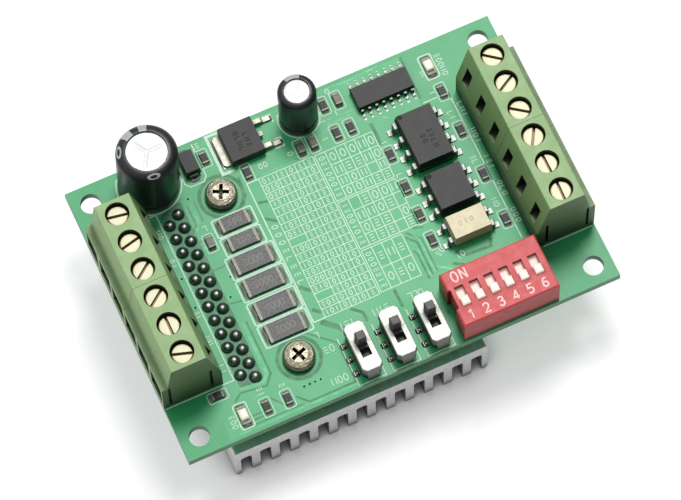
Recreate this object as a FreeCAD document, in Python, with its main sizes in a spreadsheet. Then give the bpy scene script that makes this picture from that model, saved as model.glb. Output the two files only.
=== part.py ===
"""Stepper driver module: a 75 x 50 mm driver board on a finned heatsink.

Frame: +X along the board's long edge, +Y from the switch edge to the back edge, +Z up.
The heatsink's fins stand on Z = 0 and the origin is the centre of the whole outline.
All lengths are millimetres. Board positions are measured from the board's front left corner.
"""
import FreeCAD
import Part
import os
import Sketcher
from FreeCAD import Rotation, Vector

DRIVING_SIZES = {
    # board
    "board_length": 75.0, "board_depth": 50.0, "board_thickness": 1.6,
    "mount_hole_radius": 1.7, "mount_inset_x": 3.2, "mount_inset_y": 3.25, "via_radius": 0.2,
    # heatsink
    "sink_left": 7.4, "sink_width": 44.4, "sink_height": 9.5, "sink_base": 3.0,
    "fin_pitch": 3.37, "fin_gap": 1.9, "sink_corner": 0.6, "gap_corner": 0.55,
    # driver chip between board and heatsink
    "chip_left": 17.5, "chip_width": 15.5, "chip_front": 5.85, "chip_length": 36.0,
    "chip_thickness": 4.5, "chip_pitch": 2.54, "chip_lead_thick": 0.45, "chip_lead_width": 0.6,
    "inner_row": 15.2, "outer_row": 13.2, "inner_row_start": 8.6, "outer_row_start": 9.87,
    "lead_above_board": 0.7, "lead_hole_radius": 0.5,
    # heatsink screws
    "sink_screw_x": 22.8, "sink_screw_front": 8.6, "sink_screw_back": 39.1,
    "sink_screw_head": 2.65, "sink_screw_head_height": 2.0, "sink_screw_shank": 1.5,
    "sink_screw_hole": 1.6, "sink_screw_reach": 2.4,
    "cross_arm": 1.35, "cross_web": 0.3, "cross_depth": 1.2,
    # terminal blocks
    "pole_pitch": 5.08, "block_depth": 10.2, "block_height": 14.1, "block_ledge": 7.8,
    "block_lip": 0.15, "block_step": 1.1, "block_top_front": 2.05, "block_top_back": 8.05,
    "block_back_foot": 5.2, "block_gap": 0.05, "blocks_front": 9.76, "screw_from_face": 5.0,
    "bore_radius": 1.95, "shank_bore_radius": 1.5, "shelf_top": 11.45, "chamber_top": 10.1,
    "chamber_floor": 1.0, "chamber_front": 2.4, "chamber_back": 8.4, "chamber_width": 4.1,
    "entry_width": 3.6, "entry_low": 1.9, "entry_high": 5.4,
    "mouth_width": 4.2, "mouth_low": 1.5, "mouth_high": 7.1, "mouth_depth": 0.5, "interlock_width": 0.45,
    "interlock_depth": 0.5, "interlock_front": 1.3, "interlock_back": 8.4, "interlock_top": 7.5,
    "test_slot_width": 1.85, "test_slot_low": 6.45, "test_slot_high": 10.65, "test_slot_depth": 2.3,
    # terminal screws, clamp cages and fixed contacts
    "screw_head": 1.75, "screw_head_height": 1.6, "screw_shank": 1.25, "screw_seat": 11.5,
    "screw_tip": 5.65, "screw_slot": 0.5, "screw_slot_depth": 0.75, "screw_edge": 0.2,
    "cage_length": 4.8, "cage_width": 4.0, "cage_height": 6.1, "cage_bottom": 1.2,
    "cage_floor": 0.8, "cage_roof": 1.5, "cage_side": 0.6, "thread_hole": 1.3,
    "contact_top": 5.6, "contact_thick": 0.6, "contact_width": 2.6, "contact_front": 2.45,
    "contact_back": 8.3, "contact_foot": 0.9, "pin_side": 0.9, "pin_below_board": 1.6,
    "pin_hole_radius": 0.75,
    # red six-way switch
    "dip_left": 47.85, "dip_front": 0.35, "dip_length": 16.55, "dip_depth": 9.7, "dip_height": 6.0,
    "dip_gap": 0.1, "dip_edge": 0.25, "dip_wall": 0.8, "dip_pitch": 2.54, "dip_slot_width": 1.55,
    "dip_slot_length": 3.65, "dip_slot_front": 3.4, "dip_roof": 1.0, "dip_cavity_width": 2.1,
    "dip_cavity_front": 2.12, "dip_cavity_length": 6.95, "dip_base_thick": 0.9,
    "dip_pin_rows": 7.62, "dip_pin_side": 0.5,
    "dip_notch_depth": 0.5, "dip_notch_length": 3.4, "dip_travel": 1.9,
    "knob_width": 1.35, "knob_length": 1.5, "knob_top": 6.55, "knob_plate_width": 1.9,
    "knob_plate_length": 4.9, "knob_plate_lead": 1.35, "knob_plate_low": 1.3, "knob_plate_high": 4.85,
    # slide switches
    "slide_first": 32.25, "slide_pitch": 6.0, "slide_centre_y": 4.85, "slide_width": 3.45,
    "slide_length": 8.5, "slide_top": 4.1, "slide_sheet": 0.3, "slide_corner": 0.6,
    "slide_skirt": 2.3, "slide_window_width": 1.65,
    "slide_window_front": 2.95, "slide_window_length": 3.55, "slide_travel": 2.0,
    "slide_knob_width": 1.5, "slide_knob_length": 1.45, "slide_knob_top": 6.8, "slide_lead_pitch": 2.5,
    # electrolytic capacitors
    "big_cap_x": 13.0, "big_cap_y": 45.8, "big_cap_radius": 5.0, "big_cap_height": 13.8,
    "small_cap_x": 39.65, "small_cap_y": 46.35, "small_cap_radius": 3.15, "small_cap_height": 11.0,
    "cap_lead_radius": 0.3, "cap_hole_radius": 0.45, "big_cap_leads": 5.0,
    "small_cap_leads": 2.5, "sleeve_thick": 0.2,
    "big_cap_raise": 0.2, "small_cap_raise": 0.0,
}


class Size:
    """A length with the sheet formula that it comes from, so that Python arithmetic stays parametric."""

    def __init__(self, number, formula=None):
        self.number = float(number)
        self.formula = formula or "%.6g" % self.number

    def _join(self, other, sign, number):
        return Size(number, "(%s %s %s)" % (self.formula, sign, as_size(other).formula))

    def __add__(self, other):
        return self._join(other, "+", self.number + as_size(other).number)

    def __sub__(self, other):
        return self._join(other, "-", self.number - as_size(other).number)

    def __mul__(self, other):
        return self._join(other, "*", self.number * as_size(other).number)

    def __truediv__(self, other):
        return self._join(other, "/", self.number / as_size(other).number)

    def __radd__(self, other):
        return as_size(other) + self

    def __rsub__(self, other):
        return as_size(other) - self

    def __rmul__(self, other):
        return as_size(other) * self

    def __neg__(self):
        return 0 - self


def as_size(value):
    return value if isinstance(value, Size) else Size(value)


class Sheet:
    """The spreadsheet of driving sizes, read as attributes: sizes.board_length and so on."""

    def __init__(self, document, values):
        self.table = document.addObject("Spreadsheet::Sheet", "Sizes")
        for row, (alias, number) in enumerate(values.items(), start=1):
            self.table.set("A%d" % row, alias)
            self.table.set("B%d" % row, "%g" % number)
            self.table.setAlias("B%d" % row, alias)
            setattr(self, alias, Size(number, "Sizes." + alias))


doc = FreeCAD.newDocument("stepper_driver_module")
sizes = Sheet(doc, DRIVING_SIZES)
doc.recompute()

# Levels above the floor, and the shift from the board's front left corner to the model's origin.
board_under = sizes.sink_height + sizes.chip_thickness
board_top = board_under + sizes.board_thickness
whole_depth = sizes.big_cap_y + sizes.big_cap_radius
shift_x = -(sizes.board_length / 2)
shift_y = -(whole_depth / 2)

nodes = []


# ---------------------------------------------------------------- helpers

def bind(thing, path, size):
    thing.setExpression(path, as_size(size).formula)


def place(thing, x, y, z, turn=0.0, axis=Vector(0, 0, 1)):
    """Put a sub-part at board position x, y and height z above the floor, turned about +Z or a given axis."""
    thing.Placement = FreeCAD.Placement(Vector(0, 0, 0), Rotation(axis, turn))
    bind(thing, "Placement.Base.x", x + shift_x)
    bind(thing, "Placement.Base.y", y + shift_y)
    bind(thing, "Placement.Base.z", z)


def keep(thing, label):
    thing.Label = label
    nodes.append(thing)
    return thing


def new_body(name):
    return doc.addObject("PartDesign::Body", name)


def new_sketch(body, role, name, offset=0.0):
    """A sketch on one of the body's own origin planes, moved along the plane's normal."""
    sketch = body.newObject("Sketcher::SketchObject", name)
    plane = [feature for feature in body.Origin.OriginFeatures if feature.Role == role][0]
    sketch.AttachmentSupport = [(plane, "")]
    sketch.MapMode = "FlatFace"
    bind(sketch, "AttachmentOffset.Base.z", offset)
    return sketch


def constrain(sketch, kind, size, *places):
    index = sketch.addConstraint(Sketcher.Constraint(kind, *places, as_size(size).number))
    bind(sketch, "Constraints[%d]" % index, size)


def outline(sketch, points):
    """A closed outline of straight edges, each corner held by the sheet."""
    first = sketch.GeometryCount
    corners = [Vector(as_size(x).number, as_size(y).number, 0) for x, y in points]
    for start, end in zip(corners, corners[1:] + corners[:1]):
        sketch.addGeometry(Part.LineSegment(start, end), False)
    for index, (x, y) in enumerate(points):
        line = first + index
        follower = first + (index + 1) % len(points)
        sketch.addConstraint(Sketcher.Constraint("Coincident", line, 2, follower, 1))
        constrain(sketch, "DistanceX", x, -1, 1, line, 1)
        constrain(sketch, "DistanceY", y, -1, 1, line, 1)
    return sketch


def rectangle(sketch, low_x, high_x, low_y, high_y):
    return outline(sketch, [(low_x, low_y), (high_x, low_y), (high_x, high_y), (low_x, high_y)])


def circle(sketch, x, y, radius):
    x, y, radius = as_size(x), as_size(y), as_size(radius)
    middle = Vector(x.number, y.number, 0)
    curve = sketch.addGeometry(Part.Circle(middle, Vector(0, 0, 1), radius.number), False)
    constrain(sketch, "DistanceX", x, -1, 1, curve, 3)
    constrain(sketch, "DistanceY", y, -1, 1, curve, 3)
    constrain(sketch, "Radius", radius, curve)
    return sketch


def pad(body, sketch, length, sides="One side", reverse=False):
    feature = body.newObject("PartDesign::Pad", sketch.Name + "_pad")
    feature.Profile = sketch
    feature.SideType = sides
    feature.Reversed = reverse
    bind(feature, "Length", length)
    sketch.Visibility = False
    return feature


def pocket(body, sketch, depth, sides="One side", reverse=False):
    """A pocket that must remove material: its direction is checked by volume."""
    doc.recompute()
    before = body.Shape.Volume
    feature = body.newObject("PartDesign::Pocket", sketch.Name + "_pocket")
    feature.Profile = sketch
    feature.SideType = sides
    feature.Reversed = reverse
    bind(feature, "Length", depth)
    doc.recompute()
    if body.Shape.Volume > before - 1e-6:
        raise RuntimeError(sketch.Name + " cuts nothing")
    return feature


def revolve(body, sketch):
    feature = body.newObject("PartDesign::Revolution", sketch.Name + "_turned")
    feature.Profile = sketch
    feature.ReferenceAxis = (sketch, ["V_Axis"])
    feature.Angle = 360
    return feature


def row(body, feature, role, count, pitch):
    """Repeat a feature along one of the body's axes."""
    pattern = body.newObject("PartDesign::LinearPattern", feature.Name + "_row")
    pattern.Originals = [feature]
    axis = [item for item in body.Origin.OriginFeatures if item.Role == role][0]
    pattern.Direction = (axis, [""])
    pattern.Occurrences = count
    bind(pattern, "Length", pitch * (count - 1))
    body.Tip = pattern
    doc.recompute()
    return pattern


def edges_where(shape, test):
    """Names of the edges whose middle point, direction and length pass a test."""
    found = []
    for index, edge in enumerate(shape.Edges, start=1):
        ends = edge.Vertexes
        if len(ends) == 2 and edge.Curve.TypeId == "Part::GeomLine":
            direction = (ends[1].Point - ends[0].Point).normalize()
            if test((ends[0].Point + ends[1].Point) * 0.5, direction, edge.Length):
                found.append("Edge%d" % index)
    return found


def soften(body, radius, test, kind="Fillet"):
    doc.recompute()
    base = body.Tip
    feature = body.newObject("PartDesign::" + kind, "%s_%s_%d" % (body.Name, kind.lower(), len(body.Group)))
    names = edges_where(base.Shape, test)
    if not names:
        raise RuntimeError("no edges to soften on " + body.Name)
    feature.Base = (base, names)
    bind(feature, "Radius" if kind == "Fillet" else "Size", radius)
    doc.recompute()
    return feature


def box(name, length, width, height, at):
    thing = doc.addObject("Part::Box", name)
    bind(thing, "Length", length)
    bind(thing, "Width", width)
    bind(thing, "Height", height)
    place(thing, *at)
    return thing


def moulded_half(name, length, width, height, draw, at, upside_down=False):
    """A moulded half shell: a box whose far face is smaller all round by the draw."""
    thing = doc.addObject("Part::Wedge", name)
    inset = as_size(draw)
    bind(thing, "Xmax", length)
    bind(thing, "Zmax", width)
    bind(thing, "Ymax", height)
    bind(thing, "X2min", inset)
    bind(thing, "X2max", length - inset)
    bind(thing, "Z2min", inset)
    bind(thing, "Z2max", width - inset)
    # The wedge narrows along its own Y, which is turned to point up or down here.
    x, y, z = at
    turn = Rotation(Vector(1, 0, 0), 90 if not upside_down else -90)
    thing.Placement = FreeCAD.Placement(Vector(0, 0, 0), turn)
    bind(thing, "Placement.Base.x", x + shift_x)
    bind(thing, "Placement.Base.y", y + shift_y + (width if not upside_down else 0.0))
    bind(thing, "Placement.Base.z", z)
    return thing


def moulded_block(name, length, width, low, parting, high, draw, at):
    """A moulded chip body, widest at its parting line, at board position at = (x, y)."""
    x, y = at
    start = (x, y, board_top + parting)
    upper = moulded_half(name + "_upper", length, width, high - parting, draw, start)
    lower = moulded_half(name + "_lower", length, width, parting - low, draw, start, True)
    return fused(name, [upper, lower])


def fused(name, things):
    joined = doc.addObject("Part::MultiFuse", name)
    joined.Shapes = things
    joined.Refine = True
    return joined


def grouped(name, things):
    """Separate solids that share one node."""
    group = doc.addObject("Part::Compound", name)
    group.Links = things
    return group


def repeated(name, pattern, places):
    """Copies of one bent piece at several board positions, as separate solids of one node.

    Each place is (x, y, turn) and turns the piece about its own upright axis first.
    """
    doc.recompute()
    copies = []
    for x, y, turn in places:
        piece = pattern.Shape.copy()
        piece.Placement = FreeCAD.Placement()
        offset = Vector(x + shift_x.number, y + shift_y.number, board_top.number)
        piece.Placement = FreeCAD.Placement(offset, Rotation(Vector(0, 0, 1), turn))
        copies.append(piece)
    feature = doc.addObject("Part::Feature", name)
    feature.Shape = Part.makeCompound(copies)
    return feature


def is_along(direction, axis):
    return abs(getattr(direction, axis)) > 0.999


# ---------------------------------------------------------------- board

# Plated holes that join the two copper layers: board positions.
VIAS = [(18.5, 25.8), (17.1, 22.6), (17.7, 40.9), (11.3, 28.7), (11.3, 23.3),
        (21.6, 3.9), (22.55, 3.9), (23.5, 3.9), (24.45, 3.9)]


def make_board():
    body = new_body("board")
    plate = new_sketch(body, "XY_Plane", "board_outline")
    rectangle(plate, 0, sizes.board_length, 0, sizes.board_depth)
    pad(body, plate, sizes.board_thickness)

    def drill(name, x, y, radius):
        sketch = circle(new_sketch(body, "XY_Plane", name), x, y, radius)
        return pocket(body, sketch, sizes.board_thickness, reverse=True)

    def drill_all(name, holes, radius):
        sketch = new_sketch(body, "XY_Plane", name)
        for x, y in holes:
            circle(sketch, x, y, radius)
        return pocket(body, sketch, sizes.board_thickness, reverse=True)

    inset_x, inset_y = sizes.mount_inset_x, sizes.mount_inset_y
    corners = [(x, y) for x in (inset_x, sizes.board_length - inset_x)
               for y in (inset_y, sizes.board_depth - inset_y)]
    drill_all("mount_holes", corners, sizes.mount_hole_radius)
    screws = [(sizes.sink_screw_x, sizes.sink_screw_front), (sizes.sink_screw_x, sizes.sink_screw_back)]
    drill_all("sink_screw_holes", screws, sizes.sink_screw_hole)
    inner = drill("inner_lead_hole", sizes.inner_row, sizes.inner_row_start, sizes.lead_hole_radius)
    row(body, inner, "Y_Axis", 13, sizes.chip_pitch)
    outer = drill("outer_lead_hole", sizes.outer_row, sizes.outer_row_start, sizes.lead_hole_radius)
    row(body, outer, "Y_Axis", 12, sizes.chip_pitch)
    for side, x in (("left", sizes.screw_from_face), ("right", sizes.board_length - sizes.screw_from_face)):
        first_pole = sizes.blocks_front + sizes.pole_pitch / 2
        hole = drill(side + "_terminal_hole", x, first_pole, sizes.pin_hole_radius)
        row(body, hole, "Y_Axis", 6, sizes.pole_pitch)
    dip_start, rows_y = dip_pin_start()
    for index, y in enumerate(rows_y):
        hole = drill("dip_hole_%d" % index, dip_start, y, sizes.lead_hole_radius)
        row(body, hole, "X_Axis", 6, sizes.dip_pitch)
    drill_all("capacitor_lead_holes", capacitor_lead_places(), sizes.cap_hole_radius)
    drill_all("vias", VIAS, sizes.via_radius)
    place(body, Size(0), Size(0), board_under)
    return keep(body, "circuit_board")


def dip_pin_start():
    """The first column of the switch's pins and its two row positions."""
    first = sizes.dip_left + (sizes.dip_length - sizes.dip_pitch * 5) / 2
    middle = sizes.dip_front + sizes.dip_depth / 2
    return first, (middle - sizes.dip_pin_rows / 2, middle + sizes.dip_pin_rows / 2)


def capacitor_lead_places():
    """Lead positions: the large capacitor's leads lie along X, the small one's too."""
    places = []
    for x, y, spacing in ((sizes.big_cap_x, sizes.big_cap_y, sizes.big_cap_leads),
                          (sizes.small_cap_x, sizes.small_cap_y, sizes.small_cap_leads)):
        places += [(x - spacing / 2, y), (x + spacing / 2, y)]
    return places


# ---------------------------------------------------------------- heatsink and driver chip

def make_heatsink():
    body = new_body("sink")
    front = new_sketch(body, "XZ_Plane", "sink_outline")
    rectangle(front, 0, sizes.sink_width, 0, sizes.sink_height)
    pad(body, front, sizes.board_depth, reverse=True)
    soften(body, sizes.sink_corner, lambda middle, way, length: is_along(way, "y"))
    gap_start = (sizes.sink_width - sizes.fin_pitch * 12 - sizes.fin_gap) / 2
    gap = new_sketch(body, "XZ_Plane", "fin_gap_outline")
    gap_top = sizes.sink_height - sizes.sink_base
    rectangle(gap, gap_start, gap_start + sizes.fin_gap, -1, gap_top)
    row(body, pocket(body, gap, sizes.board_depth), "X_Axis", 13, sizes.fin_pitch)
    soften(body, sizes.gap_corner,
           lambda middle, way, length: is_along(way, "y") and abs(middle.z - gap_top.number) < 0.01)
    holes = new_sketch(body, "XY_Plane", "tapped_holes", sizes.sink_height)
    for y in (sizes.sink_screw_front, sizes.sink_screw_back):
        circle(holes, sizes.sink_screw_x - sizes.sink_left, y, sizes.sink_screw_hole)
    pocket(body, holes, sizes.sink_screw_reach + 0.3)
    place(body, sizes.sink_left, Size(0), Size(0))
    return keep(body, "heatsink")


def make_driver_chip():
    body = new_body("chip")
    face = new_sketch(body, "XY_Plane", "chip_outline")
    rectangle(face, 0, sizes.chip_width, 0, sizes.chip_length)
    pad(body, face, sizes.chip_thickness)
    soften(body, Size(0.35), lambda middle, way, length: is_along(way, "z") or is_along(way, "y"), "Chamfer")
    holes = new_sketch(body, "XY_Plane", "chip_screw_holes")
    for y in (sizes.sink_screw_front, sizes.sink_screw_back):
        circle(holes, sizes.sink_screw_x - sizes.chip_left, y - sizes.chip_front, sizes.sink_screw_hole)
    pocket(body, holes, sizes.chip_thickness, reverse=True)
    place(body, sizes.chip_left, sizes.chip_front, sizes.sink_height)
    return keep(body, "driver_chip")


def make_driver_chip_leads():
    """25 flat leads that leave the chip's left side and turn up through the board in two rows."""
    half = sizes.chip_lead_thick / 2
    middle = -sizes.board_thickness - sizes.chip_thickness / 2
    leads = []
    rows = (("inner", sizes.inner_row, sizes.inner_row_start, 13),
            ("outer", sizes.outer_row, sizes.outer_row_start, 12))
    for name, x, start, count in rows:
        reach = sizes.chip_left - x
        body = new_body(name + "_row_lead")
        side = new_sketch(body, "XZ_Plane", name + "_lead_outline")
        outline(side, [(-half, middle - half), (reach, middle - half), (reach, middle + half),
                       (half, middle + half), (half, sizes.lead_above_board),
                       (-half, sizes.lead_above_board)])
        pad(body, side, sizes.chip_lead_width, "Symmetric")
        soften(body, Size(0.3), lambda at, way, length: is_along(way, "y") and at.x < half.number + 0.01
               and at.z < -1)
        leads.append((body, [(x.number, start.number + index * sizes.chip_pitch.number, 0.0)
                             for index in range(count)]))
    groups = [repeated("driver_leads_%d" % index, body, places) for index, (body, places) in enumerate(leads)]
    return keep(grouped("driver_leads", groups), "driver_chip_leads")


def make_heatsink_screws():
    screws = []
    for name, y in (("front", sizes.sink_screw_front), ("back", sizes.sink_screw_back)):
        body = new_body(name + "_sink_screw")
        profile = new_sketch(body, "XZ_Plane", name + "_sink_screw_profile")
        head, shank, rise = sizes.sink_screw_head, sizes.sink_screw_shank, sizes.sink_screw_head_height
        tip = -(sizes.board_thickness + sizes.chip_thickness + sizes.sink_screw_reach)
        outline(profile, [(0, tip), (shank - 0.3, tip), (shank, tip + 0.3), (shank, 0), (head, 0),
                          (head, rise * 0.55), (head * 0.86, rise * 0.86), (head * 0.55, rise), (0, rise)])
        revolve(body, profile)
        recess = new_sketch(body, "XY_Plane", name + "_cross_recess", rise)
        arm, web = sizes.cross_arm, sizes.cross_web
        outline(recess, [(-arm, -web), (-web, -web), (-web, -arm), (web, -arm), (web, -web), (arm, -web),
                         (arm, web), (web, web), (web, arm), (-web, arm), (-web, web), (-arm, web)])
        pocket(body, recess, sizes.cross_depth)
        place(body, sizes.sink_screw_x, y, board_top, 20.0 if name == "front" else 65.0)
        screws.append(body)
    return keep(grouped("sink_screws", screws), "heatsink_screws")


# ---------------------------------------------------------------- terminal blocks

POLES_PER_BLOCK = 3
BLOCKS = [
    # name, wire side (-1 left, +1 right), number of blocks in front of it
    ("left_front", -1, 0), ("left_rear", -1, 1), ("right_front", 1, 0), ("right_rear", 1, 1),
]
# Rest angle of each screw's slot from +X, front pole first.
SLOT_ANGLES = {-1: [-18, 90, 37, 37, 13, -10], 1: [88, 90, 60, -36, 30, -38]}


def pole_offsets():
    return [sizes.pole_pitch * (index - 1) for index in range(POLES_PER_BLOCK)]


def make_block(name, side, index):
    """One 3-way housing. Its own X runs inwards from the wire face, Y = 0 is its middle."""
    body = new_body(name + "_block")
    end = new_sketch(body, "XZ_Plane", name + "_end_outline")
    outline(end, [(0, 0.1), (sizes.block_depth, 0.1), (sizes.block_depth, sizes.block_back_foot),
                  (sizes.block_top_back, sizes.block_height), (sizes.block_top_front, sizes.block_height),
                  (sizes.block_step, sizes.block_ledge + 0.3), (sizes.block_step - 0.2, sizes.block_ledge),
                  (sizes.block_lip, sizes.block_ledge), (0, sizes.block_ledge - 0.3)])
    pitch_width = sizes.pole_pitch * POLES_PER_BLOCK
    block_width = pitch_width - sizes.block_gap
    pad(body, end, block_width, "Symmetric")
    soften(body, Size(0.2), lambda middle, way, length: is_along(way, "y") and
           middle.z > sizes.block_back_foot.number - 0.1 and middle.x > 1.5)

    grooves = new_sketch(body, "XY_Plane", name + "_interlock_grooves", Size(0.1))
    for start in (sizes.interlock_front, sizes.interlock_back):
        for edge in (-1, 1):
            outer = block_width * (0.5 * edge)
            inner = outer - sizes.interlock_depth * edge
            low, high = (outer, inner) if edge < 0 else (inner, outer)
            half = sizes.interlock_width / 2
            rectangle(grooves, start - half, start + half, low, high)
    pocket(body, grooves, sizes.interlock_top, reverse=True)

    head_bores = new_sketch(body, "XY_Plane", name + "_head_bores", sizes.block_height)
    shank_bores = new_sketch(body, "XY_Plane", name + "_shank_bores", sizes.block_height)
    chambers = new_sketch(body, "XY_Plane", name + "_chambers", sizes.chamber_floor)
    entries = new_sketch(body, "YZ_Plane", name + "_wire_entries")
    mouths = new_sketch(body, "YZ_Plane", name + "_entry_mouths")
    test_slots = new_sketch(body, "YZ_Plane", name + "_test_slots", sizes.block_depth)
    feet = new_sketch(body, "XY_Plane", name + "_contact_feet", Size(0.1))
    leg = sizes.contact_width / 2 + 0.05
    for y in pole_offsets():
        circle(head_bores, sizes.screw_from_face, y, sizes.bore_radius)
        circle(shank_bores, sizes.screw_from_face, y, sizes.shank_bore_radius)
        rectangle(chambers, sizes.chamber_front, sizes.chamber_back,
                  y - sizes.chamber_width / 2, y + sizes.chamber_width / 2)
        rectangle(entries, y - sizes.entry_width / 2, y + sizes.entry_width / 2,
                  sizes.entry_low, sizes.entry_high)
        rectangle(mouths, y - sizes.mouth_width / 2, y + sizes.mouth_width / 2,
                  sizes.mouth_low, sizes.mouth_high)
        rectangle(test_slots, y - sizes.test_slot_width / 2, y + sizes.test_slot_width / 2,
                  sizes.test_slot_low, sizes.test_slot_high)
        rectangle(feet, sizes.screw_from_face - 0.6, sizes.contact_back + 0.05, y - leg, y + leg)
    pocket(body, head_bores, sizes.block_height - sizes.shelf_top)
    pocket(body, shank_bores, sizes.block_height - sizes.chamber_top + 0.5)
    pocket(body, chambers, sizes.chamber_top - sizes.chamber_floor, reverse=True)
    pocket(body, entries, sizes.chamber_front + 0.5, reverse=True)
    pocket(body, mouths, sizes.mouth_depth, reverse=True)
    pocket(body, test_slots, sizes.test_slot_depth)
    pocket(body, feet, sizes.chamber_floor, reverse=True)
    middle = sizes.blocks_front + pitch_width * (index + 0.5)
    x = Size(0) if side < 0 else sizes.board_length
    place(body, x, middle, board_top, 0 if side < 0 else 180)
    return body


def make_terminal_housings():
    for side, label in ((-1, "left_terminal_housings"), (1, "right_terminal_housings")):
        blocks = [make_block(name, way, index) for name, way, index in BLOCKS if way == side]
        keep(grouped(label + "_pair", blocks), label)


def make_contacts():
    """Fixed contact: a blade through the clamp cage, a leg behind it, a foot and a solder pin."""
    top, thick = sizes.contact_top, sizes.contact_thick
    body = new_body("fixed_contact")
    side = new_sketch(body, "XZ_Plane", "contact_side")
    back, front, foot = sizes.contact_back, sizes.contact_front, sizes.contact_foot
    pin_front = sizes.screw_from_face - sizes.pin_side / 2
    outline(side, [(front, top - thick), (back - thick, top - thick), (back - thick, foot),
                   (pin_front, foot), (pin_front, foot - thick), (back, foot - thick),
                   (back, top), (front, top)])
    pad(body, side, sizes.contact_width, "Symmetric")
    pin = new_sketch(body, "XY_Plane", "contact_pin", foot - 0.1)
    rectangle(pin, pin_front, pin_front + sizes.pin_side, -(sizes.pin_side / 2), sizes.pin_side / 2)
    pad(body, pin, sizes.board_thickness + sizes.pin_below_board + foot - 0.1, reverse=True)
    places = []
    for side_sign in (-1, 1):
        for pole in range(2 * POLES_PER_BLOCK):
            y = sizes.blocks_front.number + sizes.pole_pitch.number * (pole + 0.5)
            x = 0.0 if side_sign < 0 else sizes.board_length.number
            places.append((x, y, 0.0 if side_sign < 0 else 180.0))
    return keep(repeated("contacts", body, places), "terminal_contacts")


def make_clamps():
    """12 screws and the 12 cages that they lift."""
    for side, word in ((-1, "left"), (1, "right")):
        for pole, angle in enumerate(SLOT_ANGLES[side]):
            label = "%s_%d" % (word, pole + 1)
            y = sizes.blocks_front + sizes.pole_pitch * (pole + 0.5)
            from_face = sizes.screw_from_face
            x = from_face if side < 0 else sizes.board_length - from_face
            keep(make_terminal_screw(label, x, y, angle), "terminal_screw_" + label)
            keep(make_cage(label, x, y), "clamp_cage_" + label)


def make_terminal_screw(label, x, y, angle):
    body = new_body("screw_" + label)
    profile = new_sketch(body, "XZ_Plane", "screw_profile_" + label)
    head, shank, edge = sizes.screw_head, sizes.screw_shank, sizes.screw_edge
    seat = sizes.screw_seat - sizes.screw_tip
    top = seat + sizes.screw_head_height
    outline(profile, [(0, 0), (shank - edge, 0), (shank, edge), (shank, seat), (head, seat),
                      (head, top - edge), (head - edge, top), (0, top)])
    revolve(body, profile)
    slot = new_sketch(body, "XY_Plane", "screw_slot_" + label, top)
    rectangle(slot, -head, head, -(sizes.screw_slot / 2), sizes.screw_slot / 2)
    pocket(body, slot, sizes.screw_slot_depth)
    place(body, x, y, board_top + sizes.screw_tip, angle)
    return body


def make_cage(label, x, y):
    body = new_body("cage_" + label)
    face = new_sketch(body, "YZ_Plane", "cage_outline_" + label)
    half, tall = sizes.cage_width / 2, sizes.cage_height
    rectangle(face, -half, half, 0, tall)
    rectangle(face, sizes.cage_side - half, half - sizes.cage_side, sizes.cage_floor, tall - sizes.cage_roof)
    pad(body, face, sizes.cage_length, "Symmetric")
    thread = circle(new_sketch(body, "XY_Plane", "cage_thread_" + label, tall), 0, 0, sizes.thread_hole)
    pocket(body, thread, sizes.cage_roof)
    place(body, x, y, board_top + sizes.cage_bottom)
    return body


# ---------------------------------------------------------------- red six-way switch

def dip_slot_x(index):
    return (sizes.dip_length - sizes.dip_pitch * 5) / 2 + sizes.dip_pitch * index


def make_dip_housing():
    body = new_body("dip_cover")
    face = new_sketch(body, "XY_Plane", "dip_outline")
    notch = (sizes.dip_depth - sizes.dip_notch_length) / 2
    outline(face, [(0, 0), (sizes.dip_length, 0), (sizes.dip_length, sizes.dip_depth), (0, sizes.dip_depth),
                   (0, sizes.dip_depth - notch), (sizes.dip_notch_depth, sizes.dip_depth - notch),
                   (sizes.dip_notch_depth, notch), (0, notch)])
    height = sizes.dip_height - sizes.dip_gap
    pad(body, face, height)
    soften(body, sizes.dip_edge, lambda middle, way, length: middle.z > height.number - 0.01
           and (middle.y < 0.01 or middle.y > sizes.dip_depth.number - 0.01
                or middle.x > sizes.dip_length.number - 0.01 or middle.x < 0.01), "Chamfer")
    base_recess = new_sketch(body, "XY_Plane", "dip_base_recess")
    wall = sizes.dip_wall
    rectangle(base_recess, wall, sizes.dip_length - wall, wall, sizes.dip_depth - wall)
    pocket(body, base_recess, sizes.dip_base_thick, reverse=True)
    cavities = new_sketch(body, "XY_Plane", "dip_cavities")
    slots = new_sketch(body, "XY_Plane", "dip_slots")
    cavity_front = sizes.dip_cavity_front - sizes.dip_front
    slot_front = sizes.dip_slot_front - sizes.dip_front
    for index in range(6):
        x = dip_slot_x(index)
        rectangle(cavities, x - sizes.dip_cavity_width / 2, x + sizes.dip_cavity_width / 2,
                  cavity_front, cavity_front + sizes.dip_cavity_length)
        rectangle(slots, x - sizes.dip_slot_width / 2, x + sizes.dip_slot_width / 2,
                  slot_front, slot_front + sizes.dip_slot_length)
    pocket(body, cavities, height - sizes.dip_roof, reverse=True)
    pocket(body, slots, height, reverse=True)
    place(body, sizes.dip_left, sizes.dip_front, board_top + sizes.dip_gap)
    return keep(body, "dip_switch_housing")


def make_dip_base():
    clearance = sizes.dip_wall + 0.05
    return keep(box("dip_base", sizes.dip_length - clearance * 2, sizes.dip_depth - clearance * 2,
                    sizes.dip_base_thick,
                    (sizes.dip_left + clearance, sizes.dip_front + clearance, board_top + sizes.dip_gap)),
                "dip_switch_base")


def make_dip_pins():
    first, rows_y = dip_pin_start()
    side = sizes.dip_pin_side
    pins = []
    for row_index, y in enumerate(rows_y):
        for index in range(6):
            x = first + sizes.dip_pitch * index
            pins.append(box("dip_pin_%d_%d" % (row_index, index), side, side,
                            sizes.board_thickness + sizes.pin_below_board + sizes.dip_gap,
                            (x - side / 2, y - side / 2, board_under - sizes.pin_below_board)))
    return keep(grouped("dip_pins", pins), "dip_switch_pins")


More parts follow.
